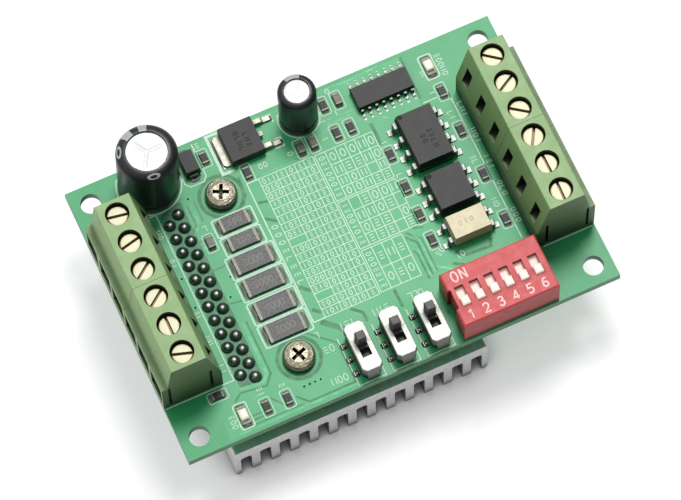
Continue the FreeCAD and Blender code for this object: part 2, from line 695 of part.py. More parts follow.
def make_dip_sliders():
    """Six sliders, each at the end of its slot next to the numbers, on a plate that fills the slot's view."""
    for index in range(6):
        label = str(index + 1)
        body = new_body("dip_slider_" + label)
        low = new_sketch(body, "XY_Plane", "slider_plate_" + label)
        half, length = sizes.knob_plate_width / 2, sizes.knob_plate_length
        rectangle(low, -half, half, 0, length)
        pad(body, low, sizes.knob_plate_high - sizes.knob_plate_low)
        top = new_sketch(body, "XY_Plane", "slider_knob_" + label)
        start = sizes.knob_plate_lead
        rectangle(top, -(sizes.knob_width / 2), sizes.knob_width / 2, start, start + sizes.knob_length)
        pad(body, top, sizes.knob_top - sizes.knob_plate_low)
        knob_top = (sizes.knob_top - sizes.knob_plate_low).number
        soften(body, Size(0.15), lambda middle, way, length: middle.z > knob_top - 0.01, "Chamfer")
        gap = (sizes.dip_slot_length - sizes.knob_length - sizes.dip_travel) / 2
        y = sizes.dip_slot_front + gap - start
        place(body, sizes.dip_left + dip_slot_x(index), y, board_top + sizes.knob_plate_low)
        keep(body, "dip_slider_" + label)


# ---------------------------------------------------------------- slide switches

def slide_places():
    return [sizes.slide_first + sizes.slide_pitch * index for index in range(3)]


def clipped(sketch, half_x, half_y, corner):
    """A rectangle about the origin with cut corners."""
    outline(sketch, [(-half_x, corner - half_y), (corner - half_x, -half_y), (half_x - corner, -half_y),
                     (half_x, corner - half_y), (half_x, half_y - corner), (half_x - corner, half_y),
                     (corner - half_x, half_y), (-half_x, half_y - corner)])
    return sketch


def make_slide_switches():
    covers, bases = [], []
    half_x, half_y, sheet = sizes.slide_width / 2, sizes.slide_length / 2, sizes.slide_sheet
    window = sizes.slide_window_front - sizes.slide_centre_y
    for index, x in enumerate(slide_places(), start=1):
        cover = new_body("slide_cover_%d" % index)
        shell = new_sketch(cover, "XY_Plane", "slide_shell_%d" % index, sizes.slide_skirt)
        clipped(shell, half_x, half_y, sizes.slide_corner)
        pad(cover, shell, sizes.slide_top - sizes.slide_skirt)
        soften(cover, Size(0.18), lambda middle, way, length: middle.z > sizes.slide_top.number - 0.01)
        hollow = new_sketch(cover, "XY_Plane", "slide_hollow_%d" % index, sizes.slide_skirt)
        rectangle(hollow, sheet - half_x, half_x - sheet, sheet - half_y + 0.5, half_y - sheet - 0.5)
        pocket(cover, hollow, sizes.slide_top - sizes.slide_skirt - sheet, reverse=True)
        opening = new_sketch(cover, "XY_Plane", "slide_window_%d" % index, sizes.slide_top)
        rectangle(opening, -(sizes.slide_window_width / 2), sizes.slide_window_width / 2,
                  window, window + sizes.slide_window_length)
        pocket(cover, opening, sizes.slide_top - sizes.slide_skirt)
        tabs = new_sketch(cover, "XZ_Plane", "slide_tabs_%d" % index)
        rectangle(tabs, -1.0, 1.0, 0.15, sizes.slide_skirt + 0.1)
        ends = pad(cover, tabs, sizes.slide_length, "Symmetric")
        between = new_sketch(cover, "XZ_Plane", "slide_between_tabs_%d" % index)
        rectangle(between, -1.5, 1.5, -0.5, sizes.slide_skirt)
        pocket(cover, between, sizes.slide_length - sheet * 2, "Symmetric")
        place(cover, x, sizes.slide_centre_y, board_top)
        covers.append(cover)

        base = new_body("slide_base_%d" % index)
        block = new_sketch(base, "XY_Plane", "slide_block_%d" % index, Size(0.1))
        clipped(block, half_x - 0.1, half_y - sheet - 0.05, sizes.slide_corner - 0.1)
        pad(base, block, sizes.slide_skirt - 0.12)
        place(base, x, sizes.slide_centre_y, board_top)
        bases.append(base)

        keep(make_slide_knob(index, x, window), "slide_knob_%d" % index)
    keep(grouped("slide_covers", covers), "slide_switch_covers")
    keep(grouped("slide_bases", bases), "slide_switch_bases")


def make_slide_knob(index, x, window):
    """The knob, drawn at the back end of its window, on a foot that slides under the cover."""
    knob = new_body("slide_knob_body_%d" % index)
    low = sizes.slide_skirt + 0.1
    high = sizes.slide_top - sizes.slide_sheet - 0.1
    foot = new_sketch(knob, "XY_Plane", "knob_foot_%d" % index, low)
    rectangle(foot, -1.2, 1.2, -1.2, 1.2)
    pad(knob, foot, high - low)
    post = new_sketch(knob, "XY_Plane", "knob_post_%d" % index, low)
    half_x, half_y = sizes.slide_knob_width / 2, sizes.slide_knob_length / 2
    rectangle(post, -half_x, half_x, -half_y, half_y)
    pad(knob, post, sizes.slide_knob_top - low)
    knob_top = sizes.slide_knob_top.number
    soften(knob, Size(0.12), lambda middle, way, length: middle.z > knob_top - 0.01, "Chamfer")
    gap = (sizes.slide_window_length - sizes.slide_knob_length - sizes.slide_travel) / 2
    back = window + sizes.slide_window_length - gap - half_y
    place(knob, x, back + sizes.slide_centre_y, board_top)
    return knob


def make_slide_leads():
    """Three flat leads out of the left side of each slide switch."""
    leads = []
    for index, x in enumerate(slide_places(), start=1):
        for row_index in range(3):
            y = sizes.slide_centre_y + sizes.slide_lead_pitch * (row_index - 1)
            start = x - sizes.slide_width / 2
            leads.append(box("slide_lead_%d_%d" % (index, row_index), Size(1.0), Size(0.6), Size(0.25),
                             (start - 0.9, y - 0.3, board_top + 0.02)))
    return keep(grouped("slide_leads", leads), "slide_switch_leads")


# ---------------------------------------------------------------- electrolytic capacitors

# Name, sheet prefix and lean in degrees: the large one was soldered leaning towards +X and a little to -Y.
CAPACITORS = [("big", "big_cap", 2.0), ("small", "small_cap", 0.0)]
LEAN_AXIS = Vector(0.41, 0.91, 0)


def make_capacitors():
    cans, sleeves, leads = [], [], []
    for word, prefix, lean in CAPACITORS:
        radius, height = getattr(sizes, prefix + "_radius"), getattr(sizes, prefix + "_height")
        x, y = getattr(sizes, prefix + "_x"), getattr(sizes, prefix + "_y")
        base = board_top + getattr(sizes, prefix + "_raise")
        skin = sizes.sleeve_thick
        lip = radius * 0.72
        round_off = radius * 0.14
        inner = radius - skin
        can = new_body(word + "_can")
        profile = new_sketch(can, "XZ_Plane", word + "_can_profile")
        outline(profile, [(0, 0.3), (inner - 0.2, 0.3), (inner, 0.6), (inner, 1.4), (inner - 0.35, 1.7),
                          (inner, 2.0), (inner, height - skin - round_off),
                          (inner - round_off, height - skin), (lip, height - skin),
                          (lip - 0.15, height - skin - 0.15), (0, height - skin - 0.15)])
        revolve(can, profile)
        place(can, x, y, base, lean, LEAN_AXIS)
        cans.append(can)
        sleeve = new_body(word + "_sleeve")
        profile = new_sketch(sleeve, "XZ_Plane", word + "_sleeve_profile")
        step = skin * 0.4
        outline(profile, [(inner, 0.2), (radius, 0.2), (radius, 1.4), (radius - 0.3, 1.7), (radius, 2.0),
                          (radius, height - round_off - step),
                          (radius - round_off * 0.3, height - round_off * 0.3),
                          (radius - round_off - step, height), (lip, height), (lip, height - skin),
                          (inner - round_off, height - skin), (inner, height - skin - round_off),
                          (inner, 2.0), (inner - 0.35, 1.7), (inner, 1.4)])
        revolve(sleeve, profile)
        place(sleeve, x, y, base, lean, LEAN_AXIS)
        sleeves.append(sleeve)
    for index, (x, y) in enumerate(capacitor_lead_places()):
        lead = doc.addObject("Part::Cylinder", "capacitor_lead_%d" % index)
        bind(lead, "Radius", sizes.cap_lead_radius)
        bind(lead, "Height", sizes.board_thickness + 0.3 + sizes.pin_below_board)
        place(lead, x, y, board_under - sizes.pin_below_board)
        leads.append(lead)
    keep(grouped("cans", cans), "capacitor_cans")
    keep(grouped("sleeves", sleeves), "capacitor_sleeves")
    keep(grouped("cap_leads", leads), "capacitor_leads")


# ---------------------------------------------------------------- surface mounted parts

# Moulded bodies with gull-wing leads: centre x, y, body length along X, along Y, lead pitch, leads a side,
# side that the leads leave from (x or y), body low, parting and high levels, lead width, reach, foot.
CHIPS = {
    "logic_chip": (53.85, 45.0, 9.9, 3.9, 1.27, 8, "y", 0.12, 0.9, 1.7, 0.45, 1.05, 0.6),
    "opto_rear": (56.3, 33.8, 6.4, 9.6, 2.54, 4, "x", 0.35, 2.1, 3.9, 1.0, 1.6, 0.9),
    "opto_middle": (56.3, 23.95, 6.4, 6.9, 2.54, 3, "x", 0.35, 2.1, 3.9, 1.0, 1.6, 0.9),
    "enable_optocoupler": (56.35, 17.3, 6.6, 4.5, 2.54, 2, "x", 0.3, 1.9, 3.6, 0.9, 1.5, 0.8),
}


def make_chip(name):
    x, y, length, width, _, _, _, low, parting, high, _, _, _ = CHIPS[name]
    draw = 0.1 if name == "logic_chip" else 0.22
    return moulded_block(name, Size(length), Size(width), Size(low), Size(parting), Size(high), draw,
                         (Size(x - length / 2), Size(y - width / 2)))


def make_chips():
    keep(make_chip("logic_chip"), "logic_chip")
    keep(grouped("dark_optos", [make_chip("opto_rear"), make_chip("opto_middle")]), "dark_optocouplers")
    keep(make_chip("enable_optocoupler"), "cream_optocoupler")
    leads = []
    for name, spec in CHIPS.items():
        x, y, length, width, pitch, count, side, _, parting, _, lead_width, reach, foot = spec
        body = new_body(name + "_lead")
        profile = new_sketch(body, "XZ_Plane", name + "_lead_profile")
        thick = 0.22 if side == "y" else 0.28
        knee = reach - foot
        outline(profile, [(0, parting - thick / 2), (knee - thick, parting - thick / 2),
                          (knee - thick, 0.02), (reach, 0.02), (reach, 0.02 + thick), (knee, 0.02 + thick),
                          (knee, parting + thick / 2), (0, parting + thick / 2)])
        pad(body, profile, Size(lead_width), "Symmetric")
        soften(body, Size(thick * 0.6), lambda middle, way, size: is_along(way, "y") and
               0.01 < middle.x < reach - 0.01 and (middle.z > parting + thick * 0.4 or middle.z < 0.05))
        half = (length if side == "x" else width) / 2
        places = []
        for index in range(count):
            along = pitch * (index - (count - 1) / 2)
            if side == "x":
                places += [(x + half, y + along, 0.0), (x - half, y + along, 180.0)]
            else:
                places += [(x + along, y + half, 90.0), (x + along, y - half, -90.0)]
        leads.append(repeated(name + "_leads", body, places))
    keep(grouped("gull_leads", leads), "chip_leads")


def make_regulator():
    """Voltage regulator: moulded body, metal tab on its left, two long leads and one short on its right."""
    low_x, low_y, long_x, long_y = 26.5, 42.75, 5.9, 6.5
    body = moulded_block("regulator", Size(long_x), Size(long_y), Size(0.28), Size(0.9), Size(2.3), 0.12,
                         (Size(low_x), Size(low_y)))
    keep(body, "regulator_body")
    tab = new_body("regulator_tab")
    face = new_sketch(tab, "XY_Plane", "tab_outline")
    outline(face, [(0, 0.9), (0.4, 0.5), (1.3, 0.5), (1.3, 6.0), (0.4, 6.0), (0, 5.6)])
    pad(tab, face, Size(0.5))
    place(tab, low_x - 1.25, low_y, board_top + 0.02)
    lead = new_body("regulator_lead")
    profile = new_sketch(lead, "XZ_Plane", "regulator_lead_profile")
    outline(profile, [(0, 0.65), (1.0, 0.65), (1.3, 0.02), (2.9, 0.02), (2.9, 0.5), (1.7, 0.5), (1.3, 1.15),
                      (0, 1.15)])
    pad(lead, profile, Size(0.75), "Symmetric")
    stub = new_body("regulator_stub")
    profile = new_sketch(stub, "XZ_Plane", "regulator_stub_profile")
    rectangle(profile, 0, 0.7, 0.65, 1.15)
    pad(stub, profile, Size(0.75), "Symmetric")
    right = low_x + long_x
    long_leads = repeated("regulator_long_leads", lead, [(right, 43.75, 0.0), (right, 48.3, 0.0)])
    short_lead = repeated("regulator_short_lead", stub, [(right, 46.02, 0.0)])
    keep(grouped("regulator_metal", [tab, long_leads, short_lead]), "regulator_leads")


def make_sense_resistors():
    """Six low-value resistors: four 6.3 x 3.2 mm and two 5.0 x 2.5 mm chips."""
    resistors = []
    middle_x = 22.9
    for index, y in enumerate((34.1, 30.6, 26.8, 22.6, 18.3, 14.1)):
        long_x, long_y = (5.0, 2.5) if index < 2 else (6.35, 3.2)
        resistors.append(box("sense_resistor_%d" % index, Size(long_x), Size(long_y), Size(0.6),
                             (Size(middle_x - long_x / 2), Size(y - long_y / 2), board_top + 0.05)))
    return keep(grouped("sense_group", resistors), "sense_resistors")


# Centres of the small chip parts that lie along Y, of the one that lies along X, and of the lights.
SMALL_PARTS = [
    (22.9, 46.3), (28.2, 41.0), (37.7, 41.3), (39.9, 41.3), (44.1, 46.6), (46.6, 46.6), (44.1, 41.3),
    (46.6, 41.3), (50.4, 34.2), (50.3, 28.0), (50.3, 22.8), (50.3, 18.0), (62.6, 40.8), (62.5, 33.4),
    (62.6, 24.9), (62.5, 16.4), (17.9, 32.4), (14.8, 3.2), (18.4, 3.1),
]
LYING_PARTS = [(8.5, 8.1)]
LIGHTS = [(10.9, 3.4), (62.5, 45.7)]


def make_small_parts():
    long_side, short_side, tall = Size(2.0), Size(1.15), Size(0.55)
    parts = []
    for index, (x, y) in enumerate(SMALL_PARTS + LYING_PARTS):
        along_x, along_y = (short_side, long_side) if index < len(SMALL_PARTS) else (long_side, short_side)
        parts.append(box("small_part_%d" % index, along_x, along_y, tall,
                         (x - along_x / 2, y - along_y / 2, board_top + 0.04)))
    return keep(grouped("small_parts", parts), "chip_components")


def make_diode():
    body = moulded_block("diode", Size(2.6), Size(4.0), Size(0.12), Size(1.0), Size(2.2), 0.15,
                         (Size(18.9), Size(44.05)))
    return keep(body, "rectifier_diode")


def make_lights():
    """Two indicator lights, each a clear block on a thin base."""
    lights = []
    base_wide, base_long, base_tall = 1.6, 3.2, 0.4
    lens_wide, lens_long, lens_tall = 1.5, 2.0, 0.7
    for index, (x, y) in enumerate(LIGHTS):
        base = box("light_base_%d" % index, Size(base_wide), Size(base_long), Size(base_tall),
                   (Size(x - base_wide / 2), Size(y - base_long / 2), board_top + 0.04))
        lens = box("light_lens_%d" % index, Size(lens_wide), Size(lens_long), Size(lens_tall),
                   (Size(x - lens_wide / 2), Size(y - lens_long / 2), board_top + 0.43))
        lights.append(fused("light_%d" % index, [base, lens]))
    return keep(grouped("lights", lights), "indicator_lights")


# ---------------------------------------------------------------- build, check and write

def build():
    make_board()
    make_heatsink()
    make_driver_chip()
    make_driver_chip_leads()
    make_heatsink_screws()
    make_terminal_housings()
    make_contacts()
    make_clamps()
    make_dip_housing()
    make_dip_base()
    make_dip_pins()
    make_dip_sliders()
    make_slide_switches()
    make_slide_leads()
    make_capacitors()
    make_chips()
    make_regulator()
    make_sense_resistors()
    make_small_parts()
    make_diode()
    make_lights()
    doc.recompute()


def check():
    for thing in doc.Objects:
        if "Invalid" in thing.State or "Error" in thing.State:
            raise RuntimeError("%s failed: %s" % (thing.Label, thing.State))
    for node in nodes:
        if node.Shape.isNull() or not node.Shape.isValid() or not node.Shape.Solids:
            raise RuntimeError(node.Label + " has no valid shape")


def write():
    os.makedirs("parts", exist_ok=True)
    for node in nodes:
        node.Shape.exportStep("parts/%s.step" % node.Label)
    print(len(nodes), "nodes,", sum(len(node.Shape.Solids) for node in nodes), "solids")


build()
check()
write()
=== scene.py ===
"""Looks of the stepper driver module: printed marks, solder, small parts and finishes around the CAD frame.

Board positions are millimetres from the board's front left corner; heights are above its top face.
"""
import math
import random
from collections import namedtuple

import bmesh
import bpy
from mathutils import Euler, Matrix, Vector


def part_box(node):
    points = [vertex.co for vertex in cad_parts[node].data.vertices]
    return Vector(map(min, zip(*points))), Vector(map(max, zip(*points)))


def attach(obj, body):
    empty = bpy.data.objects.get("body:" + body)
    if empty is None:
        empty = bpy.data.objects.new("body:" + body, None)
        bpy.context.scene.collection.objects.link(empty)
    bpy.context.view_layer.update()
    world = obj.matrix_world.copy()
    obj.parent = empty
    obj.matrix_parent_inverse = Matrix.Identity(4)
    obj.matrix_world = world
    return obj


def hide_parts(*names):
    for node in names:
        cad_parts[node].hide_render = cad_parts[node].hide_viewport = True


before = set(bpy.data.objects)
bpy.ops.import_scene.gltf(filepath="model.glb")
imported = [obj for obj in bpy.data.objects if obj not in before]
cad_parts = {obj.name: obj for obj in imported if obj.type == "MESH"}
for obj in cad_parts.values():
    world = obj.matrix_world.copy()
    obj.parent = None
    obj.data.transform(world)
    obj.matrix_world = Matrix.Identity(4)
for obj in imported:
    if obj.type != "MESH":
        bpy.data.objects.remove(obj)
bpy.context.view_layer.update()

MM = 0.001
BOARD = "board"
CREASE_ANGLE = 38  # degrees between faces that stay sharp
board_low, board_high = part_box("circuit_board")
BOARD_THICK = (board_high.z - board_low.z) / MM
chance = random.Random(7)


def at(x, y, z=0.0):
    """Row-frame metres of a board position."""
    return Vector((board_low.x + x * MM, board_low.y + y * MM, board_high.z + z * MM))


# ---- finishes

def noise(nodes, links, source, size, detail=3.0, stretch=(1, 1, 1)):
    """Noise whose features are about size millimetres."""
    mapping = nodes.new("ShaderNodeMapping")
    mapping.inputs["Scale"].default_value = [s / (size * MM) for s in stretch]
    texture = nodes.new("ShaderNodeTexNoise")
    texture.inputs["Scale"].default_value = 1.0
    texture.inputs["Detail"].default_value = detail
    links.new(source, mapping.inputs["Vector"])
    links.new(mapping.outputs["Vector"], texture.inputs["Vector"])
    return texture.outputs["Fac"]


def ramp(nodes, links, source, low, high, out_low, out_high):
    spread = nodes.new("ShaderNodeMapRange")
    for socket, value in (("From Min", low), ("From Max", high), ("To Min", out_low), ("To Max", out_high)):
        spread.inputs[socket].default_value = value
    links.new(source, spread.inputs["Value"])
    return spread.outputs["Result"]


def mix_colour(nodes, links, factor, first, second):
    mix = nodes.new("ShaderNodeMix")
    mix.data_type = "RGBA"
    for socket, value in ((mix.inputs[6], first), (mix.inputs[7], second)):
        if isinstance(value, bpy.types.NodeSocket):
            links.new(value, socket)
        else:
            socket.default_value = (*value, 1.0)
    links.new(factor, mix.inputs[0])
    return mix.outputs[2]


def shade(colour, factor):
    return tuple(min(1.0, channel * factor) for channel in colour)


def srgb(red, green, blue):
    """Linear colour of a familiar 0-255 screen colour."""
    def linear(value):
        value /= 255.0
        return value / 12.92 if value <= 0.04045 else ((value + 0.055) / 1.055) ** 2.4
    return tuple(linear(value) for value in (red, green, blue))


def calculate(nodes, links, operation, *sources):
    step = nodes.new("ShaderNodeMath")
    step.operation = operation
    for index, source in enumerate(sources):
        links.new(source, step.inputs[index])
    return step.outputs[0]


def facing(nodes, links, axis, low, high):
    """How squarely a surface faces along an axis, from 0 at the low share to 1 at the high one."""
    split = nodes.new("ShaderNodeSeparateXYZ")
    links.new(nodes.new("ShaderNodeNewGeometry").outputs["Normal"], split.inputs["Vector"])
    return ramp(nodes, links, calculate(nodes, links, "ABSOLUTE", split.outputs[axis]), low, high, 0, 1)


def openness(nodes, links, depth, samples, low, high, brightest=1.0):
    """How open a point is to its surroundings within a depth in millimetres."""
    shelter = nodes.new("ShaderNodeAmbientOcclusion")
    shelter.samples = samples
    shelter.inputs["Distance"].default_value = depth * MM
    return ramp(nodes, links, shelter.outputs["AO"], low, high, 0.0, brightest)


def add_relief(nodes, links, height, strength, depth):
    relief = nodes.new("ShaderNodeBump")
    relief.inputs["Strength"].default_value = strength
    relief.inputs["Distance"].default_value = depth * MM
    links.new(height, relief.inputs["Height"])
    links.new(relief.outputs["Normal"], nodes["Principled BSDF"].inputs["Normal"])


NOISE_LOW, NOISE_HIGH = 0.3, 0.7  # the band that a noise mostly stays in
FULL_SHADE_OPENNESS, NO_SHADE_OPENNESS = 0.35, 0.97  # openness at which the painted shade is at its darkest, and at which it ends
RELIEF_SHARE = 0.4  # depth of a grain as a share of its size
THREAD_PITCH = 3.0  # between the glass threads that show through the mask


def surface(name, colour, roughness, metallic=0.0, mottle=(0.08, 1.5), grain=None, rough_spread=0.06,
            coat=0.0, stretch=(1, 1, 1), specular=0.5, subsurface=0.0, crevice=None, walls=1.0, ends=1.0,
            glow=0.0):
    """A finish whose mottle and grain are each a strength and a size in millimetres.

    Painted shade in hollows is a depth in millimetres and a screen colour: within that depth of other
    surfaces the colour goes towards the screen colour, also at the foot of upright faces. Upright faces, or
    only those that face along Y, can be a darker share of the colour, painted shade on the sides. The glow
    is painted
    light: an emission of the surface's own colour that lifts it where it lies in shade.
    """
    uneven, patch_size = mottle
    material = bpy.data.materials.new(name)
    material.use_nodes = True
    nodes, links = material.node_tree.nodes, material.node_tree.links
    shader = nodes["Principled BSDF"]
    # the glow's emission of the surface's own colour is painted light
    for socket, value in (("Metallic", metallic), ("Specular IOR Level", specular), ("Coat Weight", coat),
                          ("Coat Roughness", 0.12), ("Subsurface Weight", subsurface),
                          ("Subsurface Radius", (1.0, 1.0, 0.6)), ("Subsurface Scale", 0.4 * MM),
                          ("Emission Color", (*colour, 1.0)), ("Emission Strength", glow)):
        shader.inputs[socket].default_value = value
    place = nodes.new("ShaderNodeTexCoord").outputs["Object"]
    broad = noise(nodes, links, place, patch_size, 4.0, stretch)
    tint = mix_colour(nodes, links, ramp(nodes, links, broad, NOISE_LOW, NOISE_HIGH, 0, 1),
                      shade(colour, 1 - uneven), shade(colour, 1 + uneven))
    # painted shade on upright faces
    if walls < 1:
        tint = mix_colour(nodes, links, facing(nodes, links, "Z", 0.3, 0.7), shade(colour, walls), tint)
    # painted shade on faces along Y
    if ends < 1:
        tint = mix_colour(nodes, links, facing(nodes, links, "Y", 0.5, 0.8), tint, shade(colour, ends))
    # painted shade: the colour goes towards the screen colour where other surfaces are near
    if crevice:
        depth, shade_colour = crevice
        unshaded = openness(nodes, links, depth, 8, FULL_SHADE_OPENNESS, NO_SHADE_OPENNESS)
        tint = mix_colour(nodes, links, unshaded, srgb(*shade_colour), tint)
    links.new(tint, shader.inputs["Base Color"])
    patchy = noise(nodes, links, place, patch_size * 0.6, 3.0, stretch)
    links.new(ramp(nodes, links, patchy, NOISE_LOW, NOISE_HIGH, roughness - rough_spread,
                   roughness + rough_spread), shader.inputs["Roughness"])
    if grain:
        strength, size = grain
        bumps = noise(nodes, links, place, size, 2.0, stretch)
        add_relief(nodes, links, bumps, strength, size * RELIEF_SHARE)
    return material


def board_finish():
    """Green mask on both faces with a faint glass weave, and a pale fibre edge."""
    material = surface("board_mask", srgb(24, 148, 86), 0.44, mottle=(0.04, 9.0), rough_spread=0.02)
    nodes, links = material.node_tree.nodes, material.node_tree.links
    shader = nodes["Principled BSDF"]
    face_tint = shader.inputs["Base Color"].links[0].from_socket
    place = nodes.new("ShaderNodeTexCoord").outputs["Object"]
    layers = noise(nodes, links, place, 0.5, 2.0, (0.2, 0.2, 3.0))
    fibre = mix_colour(nodes, links, layers, srgb(30, 92, 56), srgb(62, 124, 78))
    on_face = facing(nodes, links, "Z", 0.4, 0.6)
    links.new(mix_colour(nodes, links, on_face, fibre, face_tint), shader.inputs["Base Color"])
    threads = []
    for direction in ("X", "Y"):
        wave = nodes.new("ShaderNodeTexWave")
        wave.bands_direction = direction
        wave.inputs["Scale"].default_value = 1.0 / (THREAD_PITCH * MM)
        wave.inputs["Distortion"].default_value = 0.4
        links.new(place, wave.inputs["Vector"])
        threads.append(wave.outputs["Fac"])
    add_relief(nodes, links, calculate(nodes, links, "MULTIPLY", *threads), 0.12, 0.02)
    return material


FINISHES = {"board_mask": board_finish()}


def finish(name, screen_colour, roughness, metallic=0.0, **details):
    FINISHES[name] = surface(name, srgb(*screen_colour), roughness, metallic, **details)


# In these finishes the depth with a screen colour is painted shade in hollows, the share for upright faces
# or for faces along Y is painted shade on the sides, and the slider's glow is painted light.
finish("copper_pour", (34, 156, 94), 0.44, mottle=(0.03, 8.0), rough_spread=0.015)
finish("copper_track", (48, 168, 106), 0.43, mottle=(0.05, 1.5))
finish("mask_channel", (18, 112, 60), 0.48, mottle=(0.1, 1.5))
finish("pin_field", (22, 104, 62), 0.46, mottle=(0.16, 0.8))
finish("silkscreen", (192, 218, 198), 0.6, mottle=(0.1, 0.4), grain=(0.2, 0.12))
# The housings get painted shade towards the board and on their faces along Y.
finish("terminal_green", (128, 160, 104), 0.52, mottle=(0.05, 3.0), grain=(0.12, 0.15),
       crevice=(24.0, (20, 36, 14)), ends=0.45)
finish("terminal_screw", (200, 198, 166), 0.5, 0.2, mottle=(0.06, 0.5), grain=(0.1, 0.08),
       stretch=(1, 6, 1), crevice=(0.7, (128, 96, 58)))
finish("clamp_metal", (190, 188, 180), 0.35, 1.0, grain=(0.1, 0.12))
finish("contact_metal", (168, 168, 160), 0.42, 0.9, mottle=(0.08, 1.5), grain=(0.15, 0.12),
       crevice=(0.8, (30, 34, 28)))
finish("chip_lead", (104, 106, 102), 0.36, 0.9, mottle=(0.14, 0.3), grain=(0.3, 0.2),
       crevice=(0.7, (14, 18, 14)))
finish("bright_solder", (122, 130, 120), 0.36, 0.8, mottle=(0.14, 0.3), grain=(0.3, 0.2),
       crevice=(0.5, (20, 40, 28)))
finish("regulator_tab", (186, 182, 166), 0.5, 0.4, mottle=(0.06, 1.5), grain=(0.15, 0.12),
       crevice=(0.8, (30, 30, 24)))
finish("plated_end", (126, 128, 118), 0.55, 0.6, mottle=(0.14, 0.3), grain=(0.3, 0.15),
       crevice=(0.7, (34, 40, 32)))
finish("solder", (122, 126, 122), 0.34, 1.0, mottle=(0.14, 0.4), grain=(0.25, 0.2),
       crevice=(0.6, (16, 30, 22)))
finish("switch_red", (196, 76, 78), 0.46, specular=0.3, mottle=(0.05, 2.0), grain=(0.1, 0.1),
       subsurface=0.1, crevice=(1.6, (120, 36, 40)), walls=0.7)
finish("switch_red_base", (176, 104, 98), 0.5, mottle=(0.1, 1.5))
finish("switch_black", (38, 38, 38), 0.5, mottle=(0.15, 1.5))
# The slider glows with painted light, to lift it in the shade of its slot.
finish("slider_white", (240, 204, 194), 0.46, mottle=(0.05, 0.6), subsurface=0.2,
       crevice=(0.25, (150, 84, 78)), glow=0.24)
finish("switch_print", (240, 192, 188), 0.5, mottle=(0.05, 1.5))
# The cover's upright faces are darker partly for the dark body under its thin top plate and partly as
# painted shade.
finish("slide_cover", (192, 194, 184), 0.42, 0.2, mottle=(0.05, 0.7), grain=(0.08, 0.12),
       crevice=(4.5, (30, 36, 28)), walls=0.2)
finish("knob_black", (60, 60, 56), 0.5, mottle=(0.15, 1.5), grain=(0.15, 0.12))
finish("sink_aluminium", (204, 203, 204), 0.4, 0.9, mottle=(0.1, 0.7), grain=(0.35, 0.12),
       stretch=(1, 0.05, 1), rough_spread=0.1, crevice=(2.5, (60, 60, 62)))
finish("chip_black", (32, 31, 30), 0.52, mottle=(0.02, 3.0), grain=(0.05, 0.2), rough_spread=0.01,
       specular=0.38, crevice=(4.0, (5, 5, 5)))
finish("chip_print", (14, 13, 14), 0.75, mottle=(0.15, 0.4))
finish("chip_cream", (206, 196, 162), 0.5, mottle=(0.05, 1.5), grain=(0.25, 0.1), subsurface=0.1,
       crevice=(1.5, (70, 60, 40)), walls=0.6)
finish("cream_print", (176, 164, 136), 0.6)
finish("plated_screw", (160, 154, 134), 0.42, 0.7, mottle=(0.3, 0.6), grain=(0.8, 0.5),
       crevice=(3.2, (26, 20, 12)), walls=0.4)
finish("can_aluminium", (200, 201, 200), 0.5, 0.3, mottle=(0.02, 2.0))
finish("sleeve_black", (20, 23, 25), 0.4, mottle=(0.12, 2.0), coat=0.08, specular=0.4, grain=(0.05, 0.12))
finish("sleeve_print", (150, 156, 156), 0.4, mottle=(0.06, 1.5), coat=0.2)
finish("resistor_ceramic", (44, 42, 42), 0.44, mottle=(0.12, 0.5), grain=(0.1, 0.12),
       crevice=(0.7, (10, 12, 10)))
finish("small_ceramic", (26, 28, 26), 0.5, mottle=(0.12, 0.4), specular=0.35, crevice=(1.2, (6, 8, 6)))
finish("resistor_print", (128, 128, 120), 0.6, mottle=(0.1, 0.3))
finish("capacitor_ceramic", (82, 76, 62), 0.44, mottle=(0.12, 0.4), crevice=(0.7, (24, 22, 16)))
finish("light_clear", (236, 232, 208), 0.24, mottle=(0.04, 1.5), subsurface=0.4, coat=0.4)
# Dark vias, and painted shade round the driver chip's solder domes.
finish("dark_vias_and_pin_shade", (14, 70, 38), 0.7, mottle=(0.1, 1.5), specular=0.2)


# ---- mesh helpers

def spaced(start, end, count):
    return [start + (end - start) * index / count for index in range(count + 1)]


def circle(x, y, radius, turns):
    angles = [2 * math.pi * step / turns for step in range(turns)]
    return [(x + radius * math.cos(angle), y + radius * math.sin(angle)) for angle in angles]


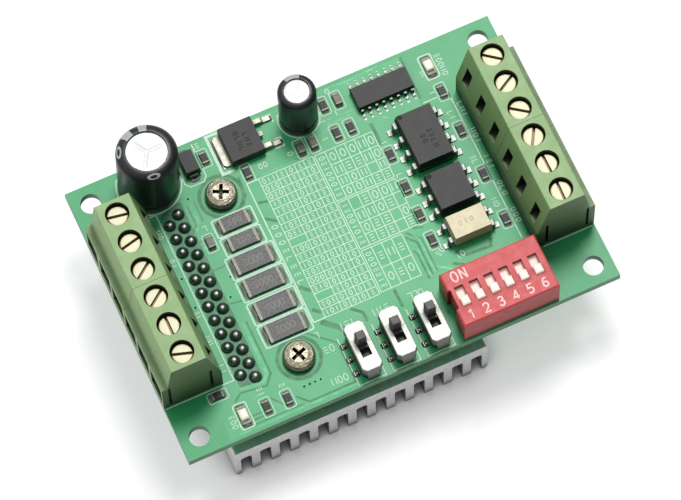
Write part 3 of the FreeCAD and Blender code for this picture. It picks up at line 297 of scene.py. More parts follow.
class Piece:
    """Closed shapes gathered in board millimetres, then made into one object."""

    def __init__(self, name):
        self.name = name
        self.points = []
        self.faces = []

    def add(self, points, faces):
        base = len(self.points)
        self.points += points
        self.faces += [[base + index for index in face] for face in faces]

    def loft(self, rings):
        """Skin between rings of equal length, closed by a cap at each end."""
        count = len(rings[0])
        faces = [list(range(count))[::-1], [(len(rings) - 1) * count + index for index in range(count)]]
        for level in range(len(rings) - 1):
            for index in range(count):
                follower = (index + 1) % count
                low, high = level * count, (level + 1) * count
                faces.append([low + index, low + follower, high + follower, high + index])
        self.add([point for ring in rings for point in ring], faces)

    def prism(self, outline, low, high, inset=0.0):
        """An upright prism; a convex one can have its top edge eased by inset."""
        rings = [[(x, y, low) for x, y in outline]]
        if inset:
            rings.append([(x, y, high - inset) for x, y in outline])
            middle_x = sum(x for x, _ in outline) / len(outline)
            middle_y = sum(y for _, y in outline) / len(outline)
            outline = [(x - math.copysign(inset, x - middle_x), y - math.copysign(inset, y - middle_y))
                       for x, y in outline]
        rings.append([(x, y, high) for x, y in outline])
        self.loft(rings)

    def block(self, x, y, wide, deep, low, high, inset=0.0):
        """A block centred on x, y."""
        corners = ((-1, -1), (1, -1), (1, 1), (-1, 1))
        self.prism([(x + a * wide / 2, y + b * deep / 2) for a, b in corners], low, high, inset)

    def ribbon(self, path, width, low, high, closed=False):
        """A flat strip along a path, mitred at its corners."""
        count = len(path)
        left, right = [], []
        for index, (x, y) in enumerate(path):
            before = path[index - 1] if index or closed else None
            after = path[(index + 1) % count] if index < count - 1 or closed else None
            normals = []
            for start, end in ((before, (x, y)), ((x, y), after)):
                if start and end:
                    run = math.hypot(end[0] - start[0], end[1] - start[1]) or 1e-9
                    normals.append(((start[1] - end[1]) / run, (end[0] - start[0]) / run))
            nx = sum(normal[0] for normal in normals) / len(normals)
            ny = sum(normal[1] for normal in normals) / len(normals)
            scale = width / 2 / max(nx * nx + ny * ny, 0.3)
            left.append((x + nx * scale, y + ny * scale))
            right.append((x - nx * scale, y - ny * scale))
        points = []
        for a, b in zip(left, right):
            points += [(a[0], a[1], high), (b[0], b[1], high), (b[0], b[1], low), (a[0], a[1], low)]
        faces = []
        for index in range(count if closed else count - 1):
            near, far = index * 4, (index + 1) % count * 4
            for side in range(4):
                faces.append([near + side, far + side, far + (side + 1) % 4, near + (side + 1) % 4])
        if not closed:
            faces += [[3, 2, 1, 0], [(count - 1) * 4 + side for side in range(4)]]
        self.add(points, faces)

    def ring(self, x, y, radius, width, low, high, turns=28):
        self.ribbon(circle(x, y, radius, turns), width, low, high, closed=True)

    def lathe(self, x, y, profile, turns=24):
        """A turned solid about an upright axis: profile is (radius, height) from one end to the other."""
        self.loft([[(*point, height) for point in circle(x, y, radius, turns)]
                   for radius, height in profile])

    def tilt(self, cap):
        """Lean and raise what has been gathered so far with the capacitor that it belongs to."""
        turn = Matrix.Rotation(math.radians(cap.lean), 3, LEAN_AXIS)
        foot = Vector((cap.x, cap.y, 0))
        self.points = [tuple(turn @ (Vector(point) - foot) + foot + Vector((0, 0, cap.raised)))
                       for point in self.points]

    def make(self, finish_name, slot, smooth=True, bevel=0.0, body=BOARD):
        """Make the object, which rides on a body; its slot argument is not used."""
        mesh = bpy.data.meshes.new(self.name)
        mesh.from_pydata([at(*point) for point in self.points], [], self.faces)
        shell = bmesh.new()
        shell.from_mesh(mesh)
        bmesh.ops.recalc_face_normals(shell, faces=shell.faces)
        shell.to_mesh(mesh)
        shell.free()
        if smooth:
            mesh.shade_smooth()
            mesh.set_sharp_from_angle(angle=math.radians(CREASE_ANGLE))
        mesh.materials.append(FINISHES[finish_name])
        thing = bpy.data.objects.new(self.name, mesh)
        bpy.context.scene.collection.objects.link(thing)
        if bevel:
            modifier = thing.modifiers.new("edges", "BEVEL")
            modifier.width = bevel * MM
            modifier.segments = 2
            modifier.limit_method = "ANGLE"
        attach(thing, body)
        return thing


# ---- places on the board

POLE_PITCH, LEAD_PITCH, FINE_PITCH = 5.08, 2.54, 1.27
FIRST_TERMINAL_Y = 9.76
TERMINAL_PINS_X = (5.0, 70.0)
RED_SWITCH_LEFT, RED_SWITCH_WIDE, RED_SWITCH_Y = 47.85, 16.55, 5.2
RED_SWITCH_PIN_REACH = 3.81
FIRST_SLOT = (RED_SWITCH_WIDE - LEAD_PITCH * 5) / 2  # from the red switch's left side
# Centres of the small chip parts, which lie along Y but for one.
SMALL_PARTS = {
    "resistor": [(22.9, 46.3), (28.2, 41.0), (44.1, 46.6), (44.1, 41.3), (46.6, 41.3), (50.4, 34.2),
                 (50.3, 28.0), (50.3, 22.8), (50.3, 18.0), (62.6, 40.8), (62.5, 33.4), (62.6, 24.9),
                 (62.5, 16.4), (14.8, 3.2), (18.4, 3.1), (8.5, 8.1)],
    "capacitor": [(37.7, 41.3), (39.9, 41.3), (46.6, 46.6), (17.9, 32.4)],
}
PART_LYING_ALONG_X = (8.5, 8.1)
PART_HEIGHTS = {"resistor": 0.5, "capacitor": 0.85}
# Sense resistors: centre y, length, depth.
SENSE_RESISTORS = [(34.1, 5.0, 2.5), (30.6, 5.0, 2.5), (26.8, 6.35, 3.2), (22.6, 6.35, 3.2),
                   (18.3, 6.35, 3.2), (14.1, 6.35, 3.2)]
SENSE_X = 22.9
LIGHTS = [(10.9, 3.4), (62.5, 45.7)]
SLIDE_SWITCHES = [32.25, 38.25, 44.25]
LOGIC_CHIP = (53.85, 45.0)
OPTO_X = 56.3
# Optocouplers: middle y, leads on a side, reach of the leads.
OPTOCOUPLERS = [(33.8, 4, 3.2), (23.95, 3, 3.2), (17.3, 2, 3.3)]
REGULATOR_LEADS_Y = (43.75, 48.3)
DIODE_X = 20.2
CHIP_TOP, REGULATOR_TOP, CREAM_CHIP_TOP = 3.9, 2.3, 3.6
SCREW_X = 22.8
Cap = namedtuple("Cap", "x y radius height lean raised")
BIG_CAP = Cap(13.0, 45.8, 5.0, 13.8, 2.0, 0.2)
SMALL_CAP = Cap(39.65, 46.35, 3.15, 11.0, 0.0, 0.0)
LEAN_AXIS = Vector((0.41, 0.91, 0.0))
PIN_PLACES = [(x, start + LEAD_PITCH * index) for x, start, count in ((15.2, 8.6, 13), (13.2, 9.87, 12))
              for index in range(count)]
VIAS = [(18.5, 25.8), (17.1, 22.6), (17.7, 40.9), (11.3, 28.7), (11.3, 23.3), (21.6, 3.9), (22.55, 3.9),
        (23.5, 3.9), (24.45, 3.9)]
# Clearance channels and tracks: path, width.
CHANNELS = [
    ([(17.7, 17.8), (17.7, 8.2), (16.3, 6.5), (12.0, 7.1), (10.5, 6.0)], 0.28),
    ([(15.9, 4.4), (17.6, 2.4), (18.4, 1.6)], 0.3),
    ([(19.7, 2.9), (21.3, 1.25), (29.4, 1.25), (29.4, 8.4), (25.4, 12.1)], 0.3),
    ([(9.8, 1.3), (20.4, 1.3)], 0.24), ([(11.8, 2.1), (14.0, 2.1)], 0.24),
    ([(11.8, 2.8), (14.0, 2.8)], 0.24),
    ([(28.4, 12.8), (32.0, 9.4)], 0.9), ([(33.6, 12.8), (35.2, 11.4), (35.2, 9.7)], 0.5),
    ([(41.3, 12.9), (41.3, 9.6)], 0.5), ([(46.6, 20.2), (48.0, 18.7), (48.0, 12.6)], 0.32),
    ([(47.0, 20.9), (48.9, 19.0), (48.9, 12.9)], 0.26), ([(46.8, 17.6), (47.2, 17.0), (47.2, 12.2)], 0.3),
    ([(16.4, 33.3), (19.0, 33.3)], 0.2), ([(16.4, 27.9), (19.0, 27.9), (19.0, 24.2)], 0.2),
    ([(16.6, 21.6), (18.9, 21.2)], 0.2), ([(17.1, 40.0), (17.1, 36.2), (16.4, 35.4)], 0.2),
    ([(18.4, 40.2), (18.4, 36.4)], 0.2), ([(27.6, 35.6), (29.2, 35.2)], 0.5),
    ([(27.6, 32.6), (29.2, 31.4)], 0.5), ([(28.0, 15.2), (29.2, 14.2)], 0.6),
    ([(27.7, 19.6), (29.2, 18.2)], 0.6), ([(25.4, 36.2), (26.4, 37.6), (26.6, 41.0)], 0.3),
    ([(36.0, 39.9), (38.4, 39.7)], 0.3), ([(51.6, 13.0), (54.6, 11.2), (58.0, 10.9)], 0.5),
    ([(52.8, 14.6), (54.4, 13.4), (58.4, 13.2), (58.9, 14.4)], 0.5), ([(50.0, 20.6), (48.4, 21.2)], 0.3),
    ([(59.0, 41.2), (59.0, 49.3)], 0.3), ([(49.8, 40.6), (49.8, 36.4)], 0.6),
]
TRACKS = [
    ([(17.1, 17.6), (17.1, 8.4), (16.0, 7.2), (12.2, 7.7)], 0.55),
    ([(20.6, 1.0), (21.4, 0.75), (29.6, 0.75)], 0.4), ([(9.0, 0.75), (20.2, 0.75)], 0.3),
    ([(14.4, 5.6), (13.2, 5.2)], 0.25), ([(17.7, 39.8), (17.7, 36.4), (16.8, 35.2)], 0.36),
    ([(47.6, 20.9), (48.5, 19.0), (48.5, 12.8)], 0.3), ([(46.9, 19.0), (47.6, 18.2), (47.6, 12.4)], 0.3),
    ([(16.6, 31.9), (18.8, 31.9)], 0.5), ([(49.2, 13.6), (51.0, 12.2), (52.8, 10.9)], 0.5),
    ([(30.2, 39.75), (36.4, 39.75)], 0.26), ([(51.5, 41.0), (53.6, 39.9)], 0.3),
    ([(43.4, 44.0), (48.4, 44.0)], 0.3), ([(43.2, 43.2), (48.4, 43.4)], 0.26),
    ([(46.0, 49.2), (49.6, 48.9), (55.0, 49.3)], 0.35),
]


def small_parts():
    """Centre, kind and whether it lies along X, for each small part."""
    for kind, centres in SMALL_PARTS.items():
        for x, y in centres:
            yield x, y, kind, (x, y) == PART_LYING_ALONG_X


def turned(lying, along, across):
    """Sizes or shifts along and across a small part, as X and Y."""
    return (along, across) if lying else (across, along)


# ---- printed marks

PRINT_LOW, PRINT_HIGH = -0.01, 0.035
ROW_DROP, FRAME_DROP = 0.008, 0.004
UP = math.pi / 2  # turn of a label that reads along Y


def glyph(piece, kind, x, y, tall, pen, low=PRINT_LOW, high=PRINT_HIGH, turn=0.0):
    """A generic mark: ring, bar, pair of bars, rungs or hook, never a letter of any real text."""
    half, wide = tall / 2, tall * 0.28
    shapes = {
        "ring": [([(wide * math.cos(a), half * math.sin(a)) for a in
                   (math.pi * 2 * step / 12 for step in range(12))], True)],
        "bar": [([(0, -half), (0, half)], False)],
        "bars": [([(-wide, -half), (-wide, half)], False), ([(wide, -half), (wide, half)], False)],
        "rungs": [([(-wide, level), (wide, level)], False) for level in (-half * 0.8, 0, half * 0.8)],
        "hook": [([(-wide, half), (wide, half), (wide, -half)], False)],
    }
    cosine, sine = math.cos(turn), math.sin(turn)
    for path, closed in shapes[kind]:
        piece.ribbon([(x + a * cosine - b * sine, y + a * sine + b * cosine) for a, b in path],
                     pen, low, high, closed)


def scribble(piece, x, y, count, tall=1.0, pitch=0.75, turn=0.0, pen=0.14, low=PRINT_LOW, high=PRINT_HIGH):
    """A run of generic marks that stands for a printed label, starting at x, y."""
    for index in range(count):
        along = index * pitch
        kind = chance.choice(("ring", "bar", "bars", "rungs", "hook", "ring"))
        glyph(piece, kind, x + along * math.cos(turn), y + along * math.sin(turn), tall, pen, low, high,
              turn)


def draw(piece, path, pen, drop=0.0, closed=False):
    """A printed line. A drop keeps its top under that of the lines that it crosses."""
    piece.ribbon(path, pen, PRINT_LOW, PRINT_HIGH - drop, closed)


def grid(piece, columns, rows, pen=0.16):
    """Lines at each column from the first row to the last, and at each row likewise."""
    for x in columns:
        draw(piece, [(x, rows[0]), (x, rows[-1])], pen)
    for y in rows:
        draw(piece, [(columns[0], y), (columns[-1], y)], pen, ROW_DROP)


def label_column(piece, near, far, first, last, pen):
    """The three sides of the column beside a table."""
    draw(piece, [(near, first), (far, first), (far, last), (near, last)], pen, FRAME_DROP)


def setting_tables(piece):
    """The switch setting tables printed in the middle of the board, filled with rings and bars."""
    rows = spaced(13.1, 39.3, 18)
    columns = [29.4, 32.4, 34.0, 35.6, 37.2, 38.9]
    label_column(piece, columns[0], 27.35, rows[-1], rows[0], 0.22)
    grid(piece, columns, rows)
    for row, (low, high) in enumerate(zip(rows, rows[1:])):
        middle = (low + high) / 2
        if row not in (2, 9):
            for x in (30.05, 30.9, 31.75):
                glyph(piece, chance.choice(("ring", "bar", "rungs")), x, middle, 0.85, 0.15)
        for column in (33.2, 34.8, 36.4, 38.05):
            glyph(piece, chance.choice(("ring", "rungs")), column, middle, 0.85, 0.15)
    for y in spaced(20.2, 30.6, 7):
        glyph(piece, chance.choice(("ring", "rungs", "hook")), 28.4, y, 1.0, 0.15, turn=UP)
    wide_columns = [41.0, 42.75, 44.5, 46.2, 47.9, 49.4]
    blocks = [(wide_columns, [30.5, 32.4, 34.3, 36.6, 39.2]),
              (wide_columns, [21.4, 23.4, 25.5, 27.9, 30.15]),
              (wide_columns[:3] + [46.3], [13.3, 17.1, 21.0])]
    for columns, levels in blocks:
        grid(piece, columns, levels)
        label_column(piece, columns[0], 39.25, levels[0], levels[-1], 0.16)
        for low, high in zip(levels, levels[1:]):
            for left, right in zip(columns, columns[1:]):
                if chance.random() < 0.82:
                    glyph(piece, chance.choice(("ring", "rungs", "bars")), (left + right) / 2,
                          (low + high) / 2, min(high - low, 2.2) * 0.62, 0.17)
        tall = levels[-1] - levels[0]
        for y in spaced(levels[0] + 0.9, levels[-1] - 0.9, int(tall / 1.1)):
            glyph(piece, chance.choice(("ring", "rungs", "bar")), 40.1, y, 0.9, 0.15, turn=UP)


def rounded_box(piece, x, y, wide, deep, pen, corner=0.35):
    """A printed outline with rounded corners."""
    path = []
    for sign_x, sign_y, start in ((1, 1, 0), (-1, 1, 1), (-1, -1, 2), (1, -1, 3)):
        for step in range(4):
            angle = (start + step / 3) * math.pi / 2
            path.append((x + sign_x * (wide / 2 - corner) + corner * math.cos(angle),
                         y + sign_y * (deep / 2 - corner) + corner * math.sin(angle)))
    draw(piece, path, pen, closed=True)


def print_outlines(piece):
    """Outlines round the small parts, terminal blocks, sense resistors, capacitors, regulator and lights."""
    for x, y, _, lying in small_parts():
        rounded_box(piece, x, y, *turned(lying, 3.3, 1.8), 0.14)
    for path in ([(0.2, 9.5), (11.9, 9.5), (11.9, 40.5), (10.6, 40.5)],
                 [(59.0, 40.25), (63.5, 40.25), (63.5, 12.4)], [(66.0, 9.5), (74.6, 9.5)],
                 [(0.3, 40.5), (3.0, 40.5)]):
        draw(piece, path, 0.2)
    for y, wide, deep in SENSE_RESISTORS:
        rounded_box(piece, SENSE_X, y, wide + 1.9, deep + 0.72, 0.26, 0.3)
    for cap in (BIG_CAP, SMALL_CAP):
        reach = cap.radius + 0.3
        angles = [math.radians(-215 + 250 * step / 40) for step in range(41)]
        sweep = [(cap.x + reach * math.cos(angle), cap.y + reach * math.sin(angle)) for angle in angles]
        draw(piece, [point for point in sweep if point[1] < 49.8], 0.22)
    draw(piece, [(27.0, 49.55), (24.55, 49.55), (24.55, 42.4), (26.6, 42.4)], 0.5)
    draw(piece, [(34.2, 48.9), (35.6, 48.9), (35.6, 47.5)], 0.25)
    draw(piece, [(34.2, 43.0), (35.6, 43.0), (35.6, 44.6), (34.6, 44.6)], 0.25)
    draw(piece, [(18.3, 48.6), (18.3, 43.4), (19.0, 42.6), (21.3, 42.6), (22.0, 43.4), (22.0, 49.4)], 0.22)
    for x, y in LIGHTS:
        rounded_box(piece, x, y, 2.2, 4.4, 0.22)


# Labels by the parts: start, count of marks, turn.
LABELS = [
    (9.0, 2.2, 3, UP), (8.6, 12.0, 2, 0), (18.4, 5.6, 1, UP), (14.9, 5.6, 2, UP),
    (64.5, 43.6, 5, UP), (61.0, 45.0, 1, 0), (22.7, 48.8, 1, 0), (30.6, 41.2, 2, 0),
    (35.9, 41.2, 1, UP), (42.0, 41.2, 1, UP), (42.9, 44.1, 1, UP), (45.5, 44.6, 1, 0),
    (45.7, 48.7, 1, 0), (50.4, 36.6, 1, UP), (50.3, 30.3, 1, UP), (50.3, 15.4, 2, 0.6),
    (62.3, 36.0, 2, UP), (62.3, 27.4, 2, UP), (62.3, 19.2, 2, UP), (61.1, 41.3, 1, UP),
    (18.1, 35.0, 1, 0), (26.9, 10.9, 1, 0), (53.0, 13.6, 2, 0.4),
]


def print_labels(piece):
    """Outlines and labels of the slide switches, then every other label."""
    for x in SLIDE_SWITCHES:
        draw(piece, [(x + 1.95, 9.5), (x + 1.95, 0.3), (x - 2.7, 0.3), (x - 2.7, 9.0)], 0.18)
        scribble(piece, x - 1.2, 10.6, 3, 1.3, 0.95)
    scribble(piece, 27.2, 8.0, 2, 1.2, 1.0)
    scribble(piece, 26.2, 2.6, 3, 1.2, 1.0)
    for x, y, count, turn in LABELS:
        scribble(piece, x, y, count, 0.95, 0.85, turn)
    for y in (15.4, 20.5, 25.6, 30.6, 35.7):
        scribble(piece, 64.4, y, 3, 0.95, 1.0, UP)
    for y in (11.5, 16.8, 21.4, 31.2, 36.6):
        scribble(piece, 11.1, y, 2, 0.85, 0.9, UP)


def make_silkscreen():
    piece = Piece("silkscreen")
    setting_tables(piece)
    print_outlines(piece)
    print_labels(piece)
    piece.make("silkscreen", "board_mask")


# Tops of the layers over the board's face, and the foot that they share under it.
LAYER_FOOT = -0.02
POUR_TOP, FIELD_TOP, MOAT_TOP, CHANNEL_TOP, HALO_TOP = 0.006, 0.012, 0.013, 0.014, 0.016
TRACK_TOP, VIA_TOP, VIA_RING_TOP = 0.026, 0.031, 0.033
LAYER_STEP = 0.0003  # keeps the tops of crossing strips apart


def make_copper():
    """Pours, tracks and the clearance channels between them, as relief under the mask."""
    pour = Piece("copper_pour")
    outline = [(7.5, 0.5), (65.2, 0.5), (65.2, 12.3), (63.3, 12.6), (63.3, 40.0), (58.6, 40.0),
               (58.6, 49.4), (24.0, 49.4), (8.9, 41.2), (8.9, 9.2), (7.5, 6.6)]
    pour.prism(outline, LAYER_FOOT, POUR_TOP)
    pour.make("copper_pour", "board_mask", smooth=False)
    # The pin field is partly a real darker mask area round the driver chip's leads and partly painted shade
    # between the domes.
    field = Piece("pin_field")
    field.prism([(12.3, 7.6), (16.4, 7.6), (16.4, 41.0), (14.2, 41.0), (12.3, 39.8)], LAYER_FOOT, FIELD_TOP)
    field.make("pin_field", "board_mask", smooth=False)
    dark = Piece("via_holes_and_pin_shade")
    for x, y in VIAS:
        dark.lathe(x, y, [(0.24, LAYER_FOOT), (0.24, VIA_TOP)], 16)
    # A dark disc under each solder dome is painted shade round it.
    for x, y in PIN_PLACES:
        dark.lathe(x, y, [(1.06, LAYER_FOOT), (1.06, HALO_TOP)], 24)
    dark.make("dark_vias_and_pin_shade", "board_mask", smooth=False)
    channels = Piece("mask_channels")
    for index, (path, width) in enumerate(CHANNELS):
        channels.ribbon(path, width, LAYER_FOOT, CHANNEL_TOP + index * LAYER_STEP)
    for y, radius in ((8.6, 3.5), (39.1, 3.6)):
        channels.ring(SCREW_X, y, radius, 0.6, LAYER_FOOT, MOAT_TOP, 48)
    channels.make("mask_channel", "board_mask", smooth=False)
    tracks = Piece("copper_tracks")
    for index, (path, width) in enumerate(TRACKS):
        tracks.ribbon(path, width, LAYER_FOOT, TRACK_TOP + index * LAYER_STEP)
    for x, y in VIAS:
        tracks.ring(x, y, 0.31, 0.2, LAYER_FOOT, VIA_RING_TOP)
    tracks.make("copper_track", "board_mask", smooth=False)


# ---- solder and leads

def make_pin_solder():
    """A dome over each of the driver chip's 25 leads, on a round pad."""
    piece = Piece("driver_chip_solder")
    for x, y in PIN_PLACES:
        tall = 0.92 + chance.uniform(-0.08, 0.08)
        wide = 0.92 + chance.uniform(-0.04, 0.04)
        profile = [(wide, -0.02), (wide, 0.03)]
        for step in range(1, 7):
            angle = math.pi / 2 * step / 6.6
            profile.append((wide * 0.94 * math.cos(angle) ** 0.8, 0.03 + tall * math.sin(angle)))
        piece.lathe(x + chance.uniform(-0.05, 0.05), y, profile, 20)
    piece.make("solder", "contact_metal")


def make_underside_solder():
    """Cones round every pin that comes through the board's underside."""
    piece = Piece("underside_solder")
    under = -BOARD_THICK
    pins = []  # centre x, y, reach on the board, reach at the tip, height
    for pole in range(6):
        y = FIRST_TERMINAL_Y + POLE_PITCH * (pole + 0.5)
        pins += [(x, y, 1.25, 0.62, 1.1) for x in TERMINAL_PINS_X]
    for index in range(6):
        x = RED_SWITCH_LEFT + FIRST_SLOT + LEAD_PITCH * index
        pins += [(x, RED_SWITCH_Y + side * RED_SWITCH_PIN_REACH, 0.85, 0.36, 0.9) for side in (-1, 1)]
    for cap, spacing in ((BIG_CAP, 5.0), (SMALL_CAP, 2.5)):
        pins += [(cap.x + side * spacing / 2, cap.y, 0.9, 0.32, 0.9) for side in (-1, 1)]
    for x, y, wide, narrow, tall in pins:
        profile = [(narrow * (1 + (wide / narrow - 1) * (step / 5) ** 2.2), under - tall * (1 - step / 5))
                   for step in range(6)]
        piece.lathe(x, y, profile + [(wide, under + 0.02)], 20)
    piece.make("solder", "contact_metal")


def fillet(piece, x, y, wide, deep, tall, lean_x=0.0, lean_y=0.0):
    """A low solder mound whose top leans towards the part it holds."""
    rings = []
    for share, height in ((1.0, -0.01), (1.0, 0.04), (0.72, tall * 0.45), (0.45, tall * 0.85), (0.3, tall)):
        shift = 1 - share
        corners = []
        for step in range(12):
            angle = 2 * math.pi * (step + 0.5) / 12
            corner_x = math.copysign(abs(math.cos(angle)) ** 0.5, math.cos(angle)) * wide / 2 * share
            corner_y = math.copysign(abs(math.sin(angle)) ** 0.5, math.sin(angle)) * deep / 2 * share
            corners.append((x + corner_x + lean_x * shift, y + corner_y + lean_y * shift, height))
        rings.append(corners)
    piece.loft(rings)


def make_surface_solder():
    """Solder and pads under the gull-wing leads, the regulator and the slide switches' leads."""
    bright = Piece("chip_lead_solder")
    chip_x, chip_y = LOGIC_CHIP
    for index in range(8):
        x = chip_x + FINE_PITCH * (index - 3.5)
        for side in (-1, 1):
            fillet(bright, x, chip_y + side * 3.1, 0.4, 1.0, 0.1, 0, -side * 0.1)
    for middle, count, half in OPTOCOUPLERS:
        for index in range(count):
            y = middle + LEAD_PITCH * (index - (count - 1) / 2)
            for side in (-1, 1):
                fillet(bright, OPTO_X + side * (half + 1.2), y, 0.8, 0.8, 0.14, -side * 0.1, 0)
    bright.make("bright_solder", "contact_metal")
    piece = Piece("surface_solder")
    for y in REGULATOR_LEADS_Y:
        fillet(piece, 34.9, y, 1.6, 1.1, 0.3, -0.2, 0)
    fillet(piece, 25.3, 46.0, 0.9, 5.8, 0.3, 0.2, 0)
    for x in SLIDE_SWITCHES:
        for step in (-1, 0, 1):
            fillet(piece, x - 2.35, 4.85 + 2.5 * step, 1.1, 1.1, 0.4, 0.2, 0)
    for y, lean in ((43.5, 0.2), (48.6, -0.2)):
        fillet(piece, DIODE_X, y, 1.5, 0.9, 0.25, 0, lean)
    piece.make("solder", "contact_metal")


def make_small_parts():
    """Chip resistors and capacitors: ceramic body, plated ends and a solder fillet at each end."""
    resistors, capacitors = Piece("small_resistors"), Piece("small_capacitors")
    ends, solder = Piece("small_part_ends"), Piece("small_part_solder")
    for x, y, kind, lying in small_parts():
        tall = PART_HEIGHTS[kind]
        body = resistors if kind == "resistor" else capacitors
        body.block(x, y, *turned(lying, 1.3, 1.12), 0.06, tall, 0.04)
        for side in (-1, 1):
            shift_x, shift_y = turned(lying, side * 0.82, 0)
            ends.block(x + shift_x, y + shift_y, *turned(lying, 0.36, 1.16), 0.03, tall + 0.03, 0.05)
            away_x, away_y = turned(lying, side * 1.1, 0)
            fillet(solder, x + away_x, y + away_y, *turned(lying, 0.55, 1.15), tall * 0.5,
                   -away_x * 0.2, -away_y * 0.2)
    whole = resistors.make("small_ceramic", "resistor_ceramic")
    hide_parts("chip_components")
    capacitors.make("capacitor_ceramic", "resistor_ceramic")
    ends.make("plated_end", "contact_metal")
    solder.make("plated_end", "contact_metal")


def make_sense_resistors():
    """Six low-value resistors: ceramic slab, wrap-round ends, a printed code of generic marks."""
    body, ends = Piece("sense_resistor_bodies"), Piece("sense_resistor_ends")
    solder, marks = Piece("sense_resistor_solder"), Piece("sense_resistor_marks")
    for y, wide, deep in SENSE_RESISTORS:
        body.block(SENSE_X, y, wide - 1.0, deep, 0.06, 0.62, 0.05)
        for side in (-1, 1):
            ends.block(SENSE_X + side * (wide / 2 - 0.3), y, 0.62, deep + 0.04, 0.04, 0.66, 0.06)
            fillet(solder, SENSE_X + side * (wide / 2 + 0.22), y, 0.8, deep * 0.94, 0.3, -side * 0.2, 0)
        count = 3 if wide < 6 else 4
        for index in range(count):
            kind = "ring" if index else "rungs"
            glyph(marks, kind, SENSE_X + (index - (count - 1) / 2) * 0.85, y, deep * 0.36, 0.13, 0.6, 0.64)
    whole = body.make("resistor_ceramic", "resistor_ceramic", bevel=0.05)
    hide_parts("sense_resistors")
    ends.make("plated_end", "contact_metal", bevel=0.06)
    solder.make("plated_end", "contact_metal")
    marks.make("resistor_print", "resistor_ceramic", smooth=False)


LENS_OUTLINE = [(-1, -0.8), (-0.8, -1), (0.8, -1), (1, -0.8), (1, 0.8), (0.8, 1), (-0.8, 1), (-1, 0.8)]


def make_lights():
    """Indicator lights: pale base, domed clear lens and plated ends."""
    base, lens, ends = Piece("light_bases"), Piece("light_lenses"), Piece("light_ends")
    for x, y in LIGHTS:
        base.block(x, y, 1.55, 2.3, 0.05, 0.42, 0.03)
        lens.loft([[(x + 0.72 * share * a, y + 0.95 * share * b, height) for a, b in LENS_OUTLINE]
                   for share, height in ((1.0, 0.4), (1.0, 0.7), (0.94, 0.92), (0.8, 1.05), (0.55, 1.1))])
        for side in (-1, 1):
            ends.block(x, y + side * 1.3, 1.5, 0.55, 0.02, 0.44, 0.05)
            fillet(ends, x, y + side * 1.7, 1.4, 0.7, 0.3, 0, -side * 0.15)
    whole = lens.make("light_clear", "light_clear")
    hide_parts("indicator_lights")
    base.make("chip_cream", "light_clear")
    ends.make("plated_end", "contact_metal")


# ---- capacitors

LIP = 0.69  # the sleeve's open top, as a share of its radius
SHOULDER = 0.26  # height of the rounded shoulder, likewise


def shoulder_point(cap, share):
    """Reach and height of a point on the sleeve's shoulder: share 0 is at its side, 1 at its lip."""
    lip, tall = cap.radius * LIP, cap.radius * SHOULDER
    angle = math.pi / 2 * share
    return lip + (cap.radius - lip) * math.cos(angle), cap.height - tall * (1 - math.sin(angle))


def shoulder(cap):
    return [shoulder_point(cap, share) for share in spaced(0.0, 1.0, 10)]


def printed_patch(piece, cap, start, end, profile, proud=0.03, steps=10):
    """A thin patch that follows the sleeve's profile, from one angle to another in degrees from +X."""
    rings = []
    for step in range(steps + 1):
        angle = math.radians(start + (end - start) * step / steps)
        section = [(reach + proud, level + proud) for reach, level in profile]
        section += [(reach - 0.03, level - 0.03) for reach, level in reversed(profile)]
        rings.append([(cap.x + reach * math.cos(angle), cap.y + reach * math.sin(angle), level)
                      for reach, level in section])
    piece.loft(rings)


def ring_mark(piece, cap, middle):
    """A small oval ring printed on the shoulder, as two half loops, about an angle in degrees."""
    half, pen = 11.0, 0.28
    for side in (0, 1):
        rings = []
        for step in range(13):
            around = math.pi * (side + step / 12)
            section = []
            for proud, edges in ((0.03, (1 - pen, 1 + pen)), (-0.03, (1 + pen, 1 - pen))):
                for edge in edges:
                    angle = math.radians(middle + half * edge * math.cos(around))
                    reach, level = shoulder_point(cap, 0.56 + 0.17 * edge * math.sin(around))
                    section.append((cap.x + (reach + proud) * math.cos(angle),
                                    cap.y + (reach + proud) * math.sin(angle), level + proud))
            rings.append(section)
        piece.loft(rings)


def make_capacitor_sleeves():
    """Shrunk sleeves with a crimp near the foot and a lip that rolls in over the can."""
    piece = Piece("shrunk_sleeves")
    for cap in (BIG_CAP, SMALL_CAP):
        lip = cap.radius * LIP
        profile = [(cap.radius - 0.35, 0.22), (cap.radius, 0.22), (cap.radius, 1.35),
                   (cap.radius - 0.28, 1.7), (cap.radius, 2.05)]
        profile += shoulder(cap) + [(lip - 0.09, cap.height - 0.08), (lip - 0.1, cap.height - 0.5)]
        piece.lathe(cap.x, cap.y, profile, 72)
        if cap.lean:  # the big one comes first, so nothing else leans with it
            piece.tilt(cap)
    whole = piece.make("sleeve_black", "sleeve_black")
    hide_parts("capacitor_sleeves")


def make_capacitor_details():
    """Printed stripe, dashes and rings on the sleeves, and the ends of the cans."""
    marks, dashes = Piece("sleeve_stripes"), Piece("sleeve_dashes")
    # capacitor, first and last angle of its stripe, the stripe's patches over the shoulder
    stripes = ((BIG_CAP, 67, 127, ((67, 86), (104, 127))), (SMALL_CAP, 57, 112, ((57, 112),)))
    for cap, start, end, patches in stripes:
        side = [(cap.radius, 2.2), (cap.radius, cap.height - cap.radius * SHOULDER)]
        printed_patch(marks, cap, start, end, side)
        for patch_start, patch_end in patches:
            printed_patch(marks, cap, patch_start, patch_end, shoulder(cap))
        if cap is BIG_CAP:
            for middle in (158, 262):
                ring_mark(marks, cap, middle)
        middle = (start + end) / 2
        for level in spaced(3.0, cap.height - 3.2, 3)[:3]:
            dash = [(cap.radius, level), (cap.radius, level + 2.0)]
            printed_patch(dashes, cap, middle - 5, middle + 5, dash, 0.06, 4)
        if cap.lean:
            marks.tilt(cap)
            dashes.tilt(cap)
    marks.make("sleeve_print", "sleeve_black")
    dashes.make("sleeve_black", "sleeve_black")
    make_can_top("big_can_top", BIG_CAP, 0.1, -118)
    make_can_top("small_can_top", SMALL_CAP, 0.05, -60)


